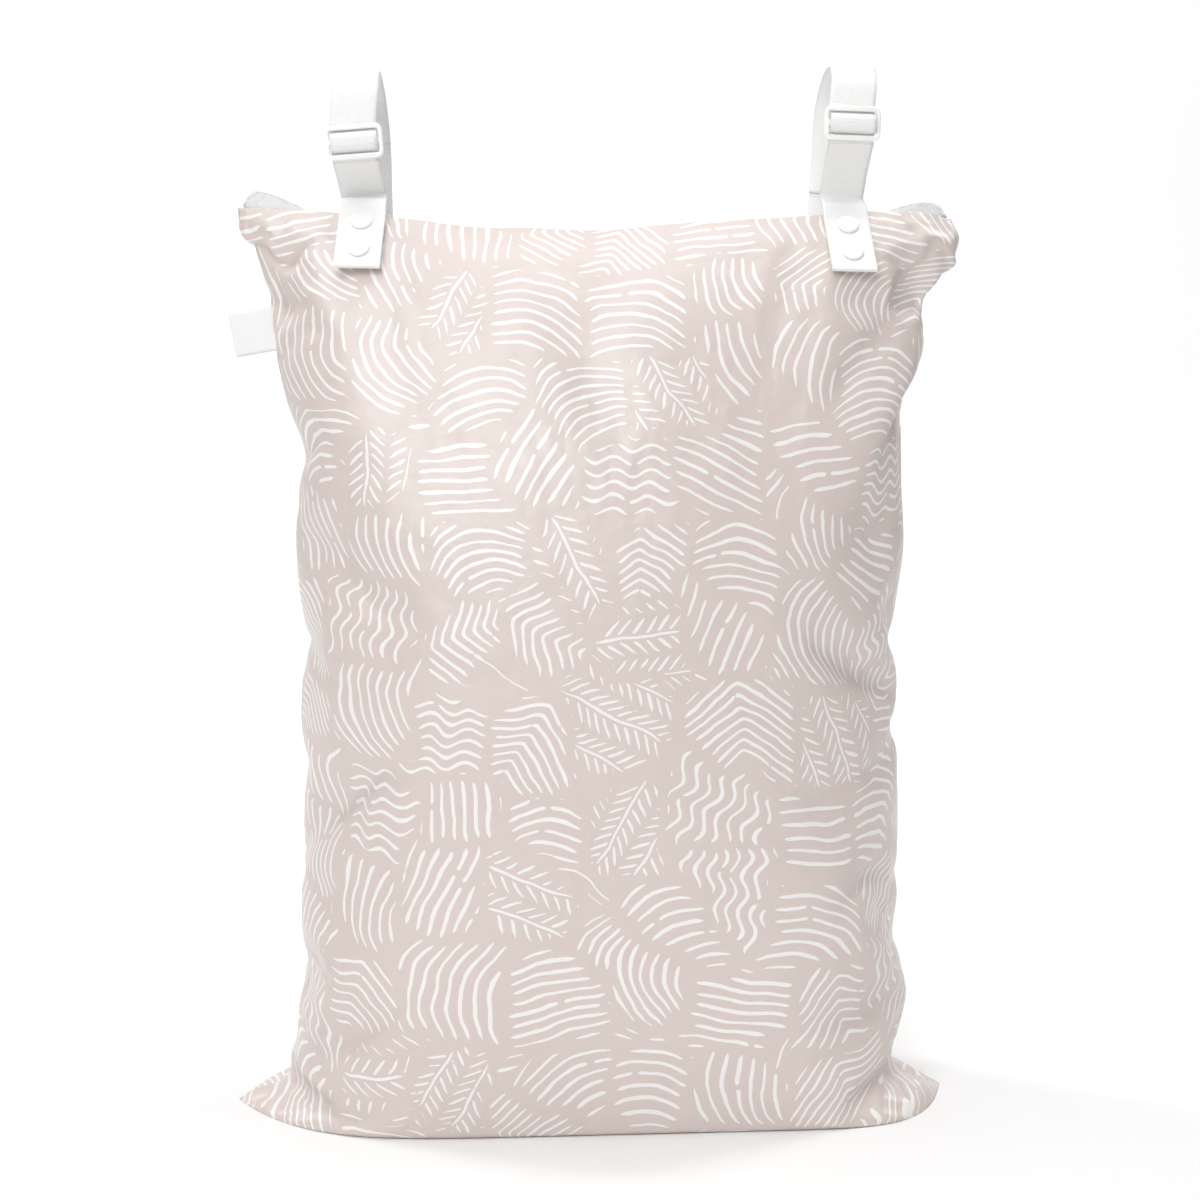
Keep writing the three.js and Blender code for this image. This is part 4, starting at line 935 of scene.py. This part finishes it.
# The straps
# Polyester webbing 25 mm wide. Each strap is sewn to the back panel, rises over a loop, goes down at the
# front through a slide buckle and into a snap tab. A second layer, whose end is wrapped round the buckle's
# middle bar, runs inside the loop and ends free on the back run.
WEBBING_WIDTH = 25.0
WEBBING = 1.2
LOOP_RISE = 90.0
LOOP_DEPTH = 61.0
ANCHOR_LENGTH = 24.0
TAB_LENGTH = 48.0
TAB_THICKNESS = 2.4
TAB_LAYER = 1.1
TAB_POCKET = 6.0
TAB_BASE = 3.5
TAB_MIDDLE = 22.5
POCKET_GAP = 1.8
SEAM_GAP = 0.3
BUCKLE_HEIGHT = 18.8
BEHIND_BAR = 2.15
LAYER = 1.5
TAB_UP = 0.984
ANCHOR_UP = 0.954
BUCKLE_THICKNESS = 2.5
SNAPS = (("lower", 12.5), ("upper", 32.5))
# A stitch's thickness along its 2 mm, and the box with a cross that the stitches follow.
STITCH_ROWS = ((0.0, 0.1), (0.3, 0.26), (1.0, 0.33), (1.7, 0.26), (2.0, 0.1))
STITCH_PITCH = 2.7
BOX_SEAMS = (
    ((-10.5, -10), (10.5, -10)), ((10.5, -10), (10.5, 10)), ((10.5, 10), (-10.5, 10)), ((-10.5, 10), (-10.5, -10)),
    ((-10.5, -10), (10.5, 10)), ((-10.5, 10), (10.5, -10)),
)
# name, lanes, tab lane, crown, buckle, tail end, and the tab's, the buckle's and the crown's lean in degrees
STRAPS = (
    ("left", (-0.636, -0.655, -0.651, -0.629, -0.622), -0.642, 0.972, 0.489, 0.567, 3.6, 5.0, -3.0),
    ("right", (0.676, 0.677, 0.699, 0.684, 0.662), 0.68, 1.03, 0.633, 0.289, -1.3, -1.5, 0.0),
)
# lane, out, rise
NECK_ROWS = ((0.0, -0.16, 0.11), (0.2, -0.24, 0.24), (0.5, -0.5, 0.45))
CROWN_ROWS = ((1.5, -0.87, 0.66), (1.8, -0.5, 0.91), (2.0, 0.0, 1.0))
BACK_ROWS = (
    (2.2, 0.47, 0.96), (2.5, 0.79, 0.87), (2.8, 0.95, 0.74), (3.0, 0.98, 0.58), (3.3, 0.92, 0.4),
    (3.6, 0.82, 0.23), (3.8, 0.74, 0.11),
)
MAIN_THREADING = (
    (-0.023, -0.894), (0.0, -0.681), (0.244, -0.543), (0.64, -0.484), (1.081, -0.404), (1.372, -0.223),
    (1.43, 0.0), (1.372, 0.223), (1.081, 0.404), (0.64, 0.484), (0.244, 0.543), (0.0, 0.681), (-0.023, 0.894),
)
TAIL_THREADING = (
    (-0.744, 1.011), (-0.733, 0.66), (-0.581, 0.404), (-0.279, 0.191), (-0.07, 0.0), (0.035, -0.223),
    (0.5, -0.303), (0.953, -0.218), (1.035, 0.0), (0.953, 0.218), (0.512, 0.303), (0.047, 0.383),
    (-0.314, 0.564), (-0.372, 0.851),
)


def unit(vector):
    vector = np.asarray(vector, float)
    return vector / np.linalg.norm(vector, axis=-1, keepdims=True)


def seat_on(panel, lane, up, roll):
    """A flat seat on a panel: its middle, and the directions up the panel, along X and away from it."""
    x, goal = lane * HALF_WIDTH, up * TOP_HEIGHT
    z, share = goal, 0.0
    for _ in range(12):
        share = x / (HALF_WIDTH * float(row_value(LEFT if x < 0 else RIGHT, np.array(z))))
        z += goal - float(smooth_point(panel, share, z)[2])
    out = outward(panel, share, z)
    side = unit(np.array((1.0, 0, 0)) - out * out[0])
    upward = unit(np.cross(side, out) * -panel)
    upward = upward * math.copysign(1, upward[2])
    turn = Matrix.Rotation(math.radians(roll * panel), 3, Vector(out))
    return smooth_point(panel, share, z), np.array(turn @ Vector(upward)), np.array(turn @ Vector(side)), out


def seated(place, up, out):
    return place[0] + place[1] * up + place[3] * out


def curve_through(points, step=1.6):
    """A centripetal Catmull-Rom curve through the points, sampled evenly."""
    points = np.array(points, float)
    whole = np.concatenate([[2 * points[0] - points[1]], points, [2 * points[-1] - points[-2]]])
    run = []
    for p0, p1, p2, p3 in zip(whole, whole[1:], whole[2:], whole[3:]):
        d0, d1, d2 = (max(np.linalg.norm(b - a) ** 0.5, 1e-4) for a, b in ((p0, p1), (p1, p2), (p2, p3)))
        t1 = ((p1 - p0) / d0 - (p2 - p0) / (d0 + d1) + (p2 - p1) / d1) * d1
        t2 = ((p2 - p1) / d1 - (p3 - p1) / (d1 + d2) + (p3 - p2) / d2) * d1
        t = np.linspace(0, 1, 60, endpoint=False)[:, None]
        run.append(p1 + t1 * t + (3 * (p2 - p1) - 2 * t1 - t2) * t ** 2 + (2 * (p1 - p2) + t1 + t2) * t ** 3)
    run = np.vstack([*run, points[-1:]])
    lengths = arc_lengths(run)
    places = np.linspace(0, lengths[-1], max(int(lengths[-1] / step), 8))
    return np.stack([np.interp(places, lengths, run[:, axis]) for axis in range(3)], -1)


def stations(points, knots):
    """Points along a curve, with the directions across the webbing and away from the loop."""
    line = curve_through(points)
    part = np.linspace(0, 1, len(line))
    ahead = directions_along(line)
    side = np.stack([np.interp(part, [t for t, _ in knots], [s[axis] for _, s in knots]) for axis in range(3)], -1)
    side = unit(side - ahead * (side * ahead).sum(axis=1, keepdims=True))
    return line, side, np.cross(side, ahead)


def threaded(place, rows, steps=5):
    """Points on the buckle's own plane, from a table of the webbing's way through it."""
    flat = np.array(rows) * (2 * BEHIND_BAR, BUCKLE_HEIGHT / 2)
    whole = np.concatenate([flat[:1], flat, flat[-1:]])
    run = []
    for p0, p1, p2, p3 in zip(whole, whole[1:], whole[2:], whole[3:]):
        v0, v1 = (p2 - p0) / 2, (p3 - p1) / 2
        t = np.linspace(0, 1, steps, endpoint=False)[:, None]
        run.append((2 * (p1 - p2) + v0 + v1) * t ** 3 + (3 * (p2 - p1) - 2 * v0 - v1) * t ** 2 + v0 * t + p1)
    run = np.vstack([*run, flat[-1:]])
    line = place[0] + run[:, 1:] * place[1] + run[:, :1] * place[3]
    side = np.tile(place[2], (len(line), 1))
    return line, side, unit(np.cross(side, directions_along(line)))


def joined_runs(*runs):
    return tuple(np.concatenate(parts) for parts in zip(*runs))


# The second colour of each is the painted shade in the weave's grooves.
webbing_finish = woven_white("white_webbing", (0.95, 0.95, 0.945, 1), (0.78, 0.78, 0.775, 1), 1.15, 1.6, 0.00025)
tab_finish = woven_white("tab_tape", (0.95, 0.95, 0.945, 1), (0.87, 0.87, 0.87, 1), 0.55, 0.55, 0.00008, 0.55)
thread_finish = moulded_white("sewing_thread", (0.9, 0.9, 0.89, 1), 0.6)
for name, lanes, tab_lane, crown, buckle_up, tail_end, tab_roll, buckle_roll, crown_roll in STRAPS:
    def lane_place(lane):
        return float(np.interp(lane, range(len(lanes)), lanes)) * HALF_WIDTH

    def loop_points(rows, low, high):
        return [(lane_place(lane), out * LOOP_DEPTH / 2, low + (high - low) * rise) for lane, out, rise in rows]

    tab = seat_on(-1, tab_lane, TAB_UP, tab_roll)
    anchor = seat_on(1, lanes[-1], ANCHOR_UP, 0.0)
    webbing_out = TAB_BASE + TAB_LAYER + POCKET_GAP / 2
    anchor_out = 2 * SEAM_GAP + WEBBING / 2
    buckle_height = TOP_HEIGHT + buckle_up * LOOP_RISE
    crown_height = TOP_HEIGHT + crown * LOOP_RISE
    lean = math.radians(buckle_roll)
    buckle = (
        np.array((lane_place(1), -1.02 * LOOP_DEPTH / 2, buckle_height)),
        np.array((-math.sin(lean), 0, math.cos(lean))),
        np.array((math.cos(lean), 0, math.sin(lean))),
        np.array((0.0, -1, 0)),
    )
    reach = BUCKLE_HEIGHT / 2 + WEBBING
    tab_end = seated(tab, TAB_LENGTH - TAB_MIDDLE, webbing_out)
    anchor_top = seated(anchor, ANCHOR_LENGTH / 2, anchor_out)
    front_points = [
        seated(tab, TAB_LENGTH - TAB_POCKET + SEAM_GAP - TAB_MIDDLE, webbing_out),
        seated(tab, TAB_LENGTH - TAB_POCKET / 2 - TAB_MIDDLE, webbing_out),
        tab_end,
        seated(tab, TAB_LENGTH + WEBBING - TAB_MIDDLE, webbing_out),
        *loop_points(NECK_ROWS, tab_end[2], buckle_height),
        seated(buckle, -reach, -SEAM_GAP),
    ]
    rest_points = [
        seated(buckle, reach, -SEAM_GAP),
        *loop_points(CROWN_ROWS, buckle_height, crown_height),
        *loop_points(BACK_ROWS, anchor_top[2], crown_height),
        anchor_top, seated(anchor, 0, anchor_out), seated(anchor, -ANCHOR_LENGTH / 2, anchor_out),
    ]
    crown_lean = math.radians(crown_roll)
    crown_side = np.array((math.cos(crown_lean), 0, math.sin(crown_lean)))
    front = stations(front_points, ((0, tab[2]), (1, buckle[2])))
    rest = stations(rest_points, ((0, buckle[2]), (0.25, crown_side), (0.85, anchor[2]), (1, anchor[2])))
    line, side, out = joined_runs(front, threaded(buckle, MAIN_THREADING), rest)
    main = ribbon_piece(f"{name}_webbing", line, side, out, WEBBING_WIDTH, WEBBING, columns=10)
    belongs(main, f"{name}_strap_main", webbing_finish)

    # The stitching that holds it to the back panel: a box with a cross in it, in thread.
    thread_points, thread_faces = [], []
    for (x0, y0), (x1, y1) in BOX_SEAMS:
        length = math.hypot(x1 - x0, y1 - y0)
        way = np.array(((x1 - x0) / length, (y1 - y0) / length))
        for start in np.arange(0.4, length - 1.8, STITCH_PITCH):
            first = len(thread_points)
            for u, fat in STITCH_ROWS:
                x, y = np.array((x0, y0)) + way * (start + u)
                for turn in np.arange(6) * math.pi / 3:
                    sideways, rise = fat * math.cos(turn), fat * math.sin(turn) * 0.8
                    spot = anchor[0] + anchor[2] * (x - way[1] * sideways) + anchor[1] * (y + way[0] * sideways)
                    thread_points.append(spot + anchor[3] * (anchor_out + WEBBING / 2 + 0.05 + rise))
            thread_faces += ring_faces(first, len(STITCH_ROWS), 6)
            final = first + 6 * (len(STITCH_ROWS) - 1)
            thread_faces += [[first + i for i in range(6)][::-1], [final + i for i in range(6)]]
    stitches = mesh_object(f"{name}_anchor_stitches", np.array(thread_points) / 1000, thread_faces)
    stitches.data.materials.append(thread_finish)
    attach(stitches, "root")

    tail_height = TOP_HEIGHT + tail_end * LOOP_RISE
    kept = (rest[0][:, 1] < 0) | (rest[0][:, 2] > tail_height)
    inner = (rest[0][kept] - rest[2][kept] * LAYER, rest[1][kept], rest[2][kept])
    line, side, out = joined_runs(threaded(buckle, TAIL_THREADING), inner)
    tail = ribbon_piece(f"{name}_webbing_end", line, side, out, WEBBING_WIDTH, WEBBING, columns=10)
    belongs(tail, f"{name}_strap_tail", webbing_finish)

    # The slide buckle: a moulded frame with a middle bar, all its edges rounded.
    half_wide, half_high = WEBBING_WIDTH / 2 + 3.0, BUCKLE_HEIGHT / 2
    slots = [rounded_box(-half_wide + 2.5, low, half_wide - 2.5, high, 0.9)
             for low, high in ((-half_high + 3, -1.5), (1.5, half_high - 3))]
    frame_outline = rounded_box(-half_wide, -half_high, half_wide, half_high, 4.0)
    slide = plate_piece(f"{name}_moulded_buckle", frame_outline, slots, BUCKLE_THICKNESS, 0.8)
    set_down(slide, seated(buckle, 0, BEHIND_BAR - BUCKLE_THICKNESS / 2), buckle[2], buckle[1], buckle[3])
    belongs(slide, f"{name}_slide_buckle", plastic_finish)

    # The snap tab: a strip of smooth tape folded round the webbing's end and sewn, its outline seen from
    # the side. It carries two snaps.
    ramp = TAB_LENGTH - TAB_POCKET
    swollen = 2 * TAB_LAYER + POCKET_GAP
    side_view = [
        (0.25, 0), (TAB_LENGTH, 0), (TAB_LENGTH, TAB_LAYER), (ramp, TAB_LAYER), (ramp, TAB_LAYER + POCKET_GAP),
        (TAB_LENGTH, TAB_LAYER + POCKET_GAP), (TAB_LENGTH, swollen), (ramp + 1, swollen), (ramp - 1, swollen - 0.5),
        (ramp - 3.4, TAB_THICKNESS + 0.15), (ramp - 5, TAB_THICKNESS), (0.25, TAB_THICKNESS), (-0.1, 1.9),
        (0.1, 1.25), (-0.15, 0.6),
    ]
    across = [-12.5, -12.3, -11.6, -6, 0, 6, 11.6, 12.3, 12.5]
    inset = [0.35, 0.1, 0, 0, 0, 0, 0, 0.1, 0.35]
    points, places = [], []
    for x, slim in zip(across, inset):
        middle = TAB_THICKNESS / 2
        points += [(u, o + (middle - o) * slim * 0.4, x) for u, o in side_view]
        places += [(x + (60 if o < middle else 0), u) for u, o in side_view]
    count = len(side_view)
    faces = ring_faces(0, len(across), count)
    faces += [list(range(count))[::-1], list(range((len(across) - 1) * count, len(across) * count))]
    strip = mesh_object(f"{name}_folded_tab", np.array(points) / 1000, faces)
    flat_layer(strip, np.array(places) / 1000)
    sharpened(strip, 50)
    set_down(strip, seated(tab, -TAB_MIDDLE, TAB_BASE), tab[1], tab[3], unit(np.cross(tab[1], tab[3])))
    belongs(strip, f"{name}_snap_tab", tab_finish)

    # The snaps: a shallow domed cap in front, with its socket behind the tab, and a stud on the bag.
    for level, up in SNAPS:
        top = TAB_BASE + TAB_THICKNESS + 0.3
        cap_profile = [(0, top + 1.2), (2.0, top + 1.22), (3.6, top + 1.35), (4.5, top + 1.5), (5.2, top + 1.42),
                       (5.8, top + 1.05), (6.15, top + 0.55), (6.2, top + 0.25), (6.0, top), (2.2, top),
                       (2.2, 3.2), (5.0, 3.2), (5.0, 1.4), (2.0, 1.4), (2.0, 2.7), (0, 2.7)]
        stud_profile = [(0, 2.1), (1.3, 2.1), (1.6, 1.9), (1.6, 1.1), (4.8, 1.1), (5.0, 0.9), (5.0, 0.3), (0, 0.3)]
        for kind, profile in (("cap", cap_profile), ("stud", stud_profile)):
            turns = 48
            points, rings = [], []
            for radius, height in profile:
                if radius == 0:
                    rings.append([len(points)] * turns)
                    points.append((0, 0, height))
                    continue
                rings.append(list(range(len(points), len(points) + turns)))
                angles = np.arange(turns) * 2 * math.pi / turns
                points += [(radius * math.cos(a), radius * math.sin(a), height) for a in angles]
            faces = []
            for upper, lower in zip(rings, rings[1:]):
                for i in range(turns):
                    j = (i + 1) % turns
                    corners = dict.fromkeys((upper[i], lower[i], lower[j], upper[j]))
                    faces.append(list(corners))
            snap = sharpened(mesh_object(f"{name}_snap_{level}_{kind}", np.array(points) / 1000, faces), 35)
            set_down(snap, seated(tab, up - TAB_MIDDLE, 0), tab[2], tab[1], tab[3])
            belongs(snap, f"{name}_snap_{kind}_{level}", plastic_finish)

# The floor
# A plain pale studio sweep of paper, not a piece of the bag: flat under it, and curving up into a backdrop far
# behind it. Lengths from here on are in metres.
SWEEP_HALF = 6
SWEEP_START = 2
SWEEP_RADIUS = 1.4
paper = Finish("studio_paper", 0.9)
spot = paper.noise(paper.node("ShaderNodeTexCoord", {}, [], "Object"), 3.0, 2.0)
paper.feed("Base Color", paper.blended(spot, (0.9, 0.9, 0.9, 1), (0.92, 0.92, 0.92, 1)))
curve = np.radians(np.linspace(0, 90, 25))
bend = zip(SWEEP_START + SWEEP_RADIUS * np.sin(curve), SWEEP_RADIUS - SWEEP_RADIUS * np.cos(curve))
sweep = [(-SWEEP_HALF, 0), (0, 0), *bend, (SWEEP_START + SWEEP_RADIUS, SWEEP_HALF)]
sweep_points = [(x, y, z) for y, z in sweep for x in (-SWEEP_HALF, SWEEP_HALF)]
sweep_faces = [(i, i + 1, i + 3, i + 2) for i in range(0, len(sweep_points) - 2, 2)]
floor = mesh_object("studio_floor", sweep_points, sweep_faces)
floor.data.materials.append(paper.material)


# The light
# Large soft panels: the key from the upper left in front, a small one above it for the coating's satin glow, a
# weak fill from the right, one overhead, which also whitens the floor, and two on the backdrop alone.
def softbox(name, place, aim, size, power):
    light = bpy.data.lights.new(name, "AREA")
    light.shape = "RECTANGLE"
    light.size, light.size_y = size
    light.energy = power
    lamp = bpy.data.objects.new(name, light)
    lamp.location = place
    lamp.rotation_euler = (Vector(aim) - Vector(place)).to_track_quat("-Z", "Y").to_euler()
    bpy.context.scene.collection.objects.link(lamp)


softbox("key", (-0.75, -2.1, 1.45), (-0.03, 0, 0.36), (1.4, 1.4), 29)
softbox("satin_glow", (-0.5, -1.65, 2.0), (-0.03, 0, 0.4), (0.9, 0.7), 6.5)
softbox("fill", (1.5, -2.1, 0.8), (0, 0, 0.35), (1.6, 1.6), 2)
softbox("overhead", (0, -0.3, 2.2), (0, -0.3, 0), (2.4, 1.5), 24)
softbox("backdrop_left", (-1.6, 0.9, 2.2), (-0.6, 2.8, 0.5), (1.2, 1.0), 43)
softbox("backdrop_right", (1.6, 0.9, 2.2), (0.6, 2.8, 0.5), (1.2, 1.0), 43)
world = bpy.data.worlds.new("studio")
bpy.context.scene.world = world
world.use_nodes = True
world.node_tree.nodes["Background"].inputs["Color"].default_value = (1, 1, 1, 1)
world.node_tree.nodes["Background"].inputs["Strength"].default_value = 0.11
bpy.context.scene.view_settings.view_transform = "Standard"

# The camera
# It looks from in front, a little from the left and from above the bag's middle, as the photograph does.
lens = bpy.data.cameras.new("camera")
lens.lens = 58.3
camera = bpy.data.objects.new("camera", lens)
camera.location = (-0.077, -1.097, 0.366)
aim = Vector((0.0017, 0, 0.2845)) - camera.location
camera.rotation_euler = aim.to_track_quat("-Z", "Y").to_euler()
bpy.context.scene.collection.objects.link(camera)
bpy.context.scene.camera = camera
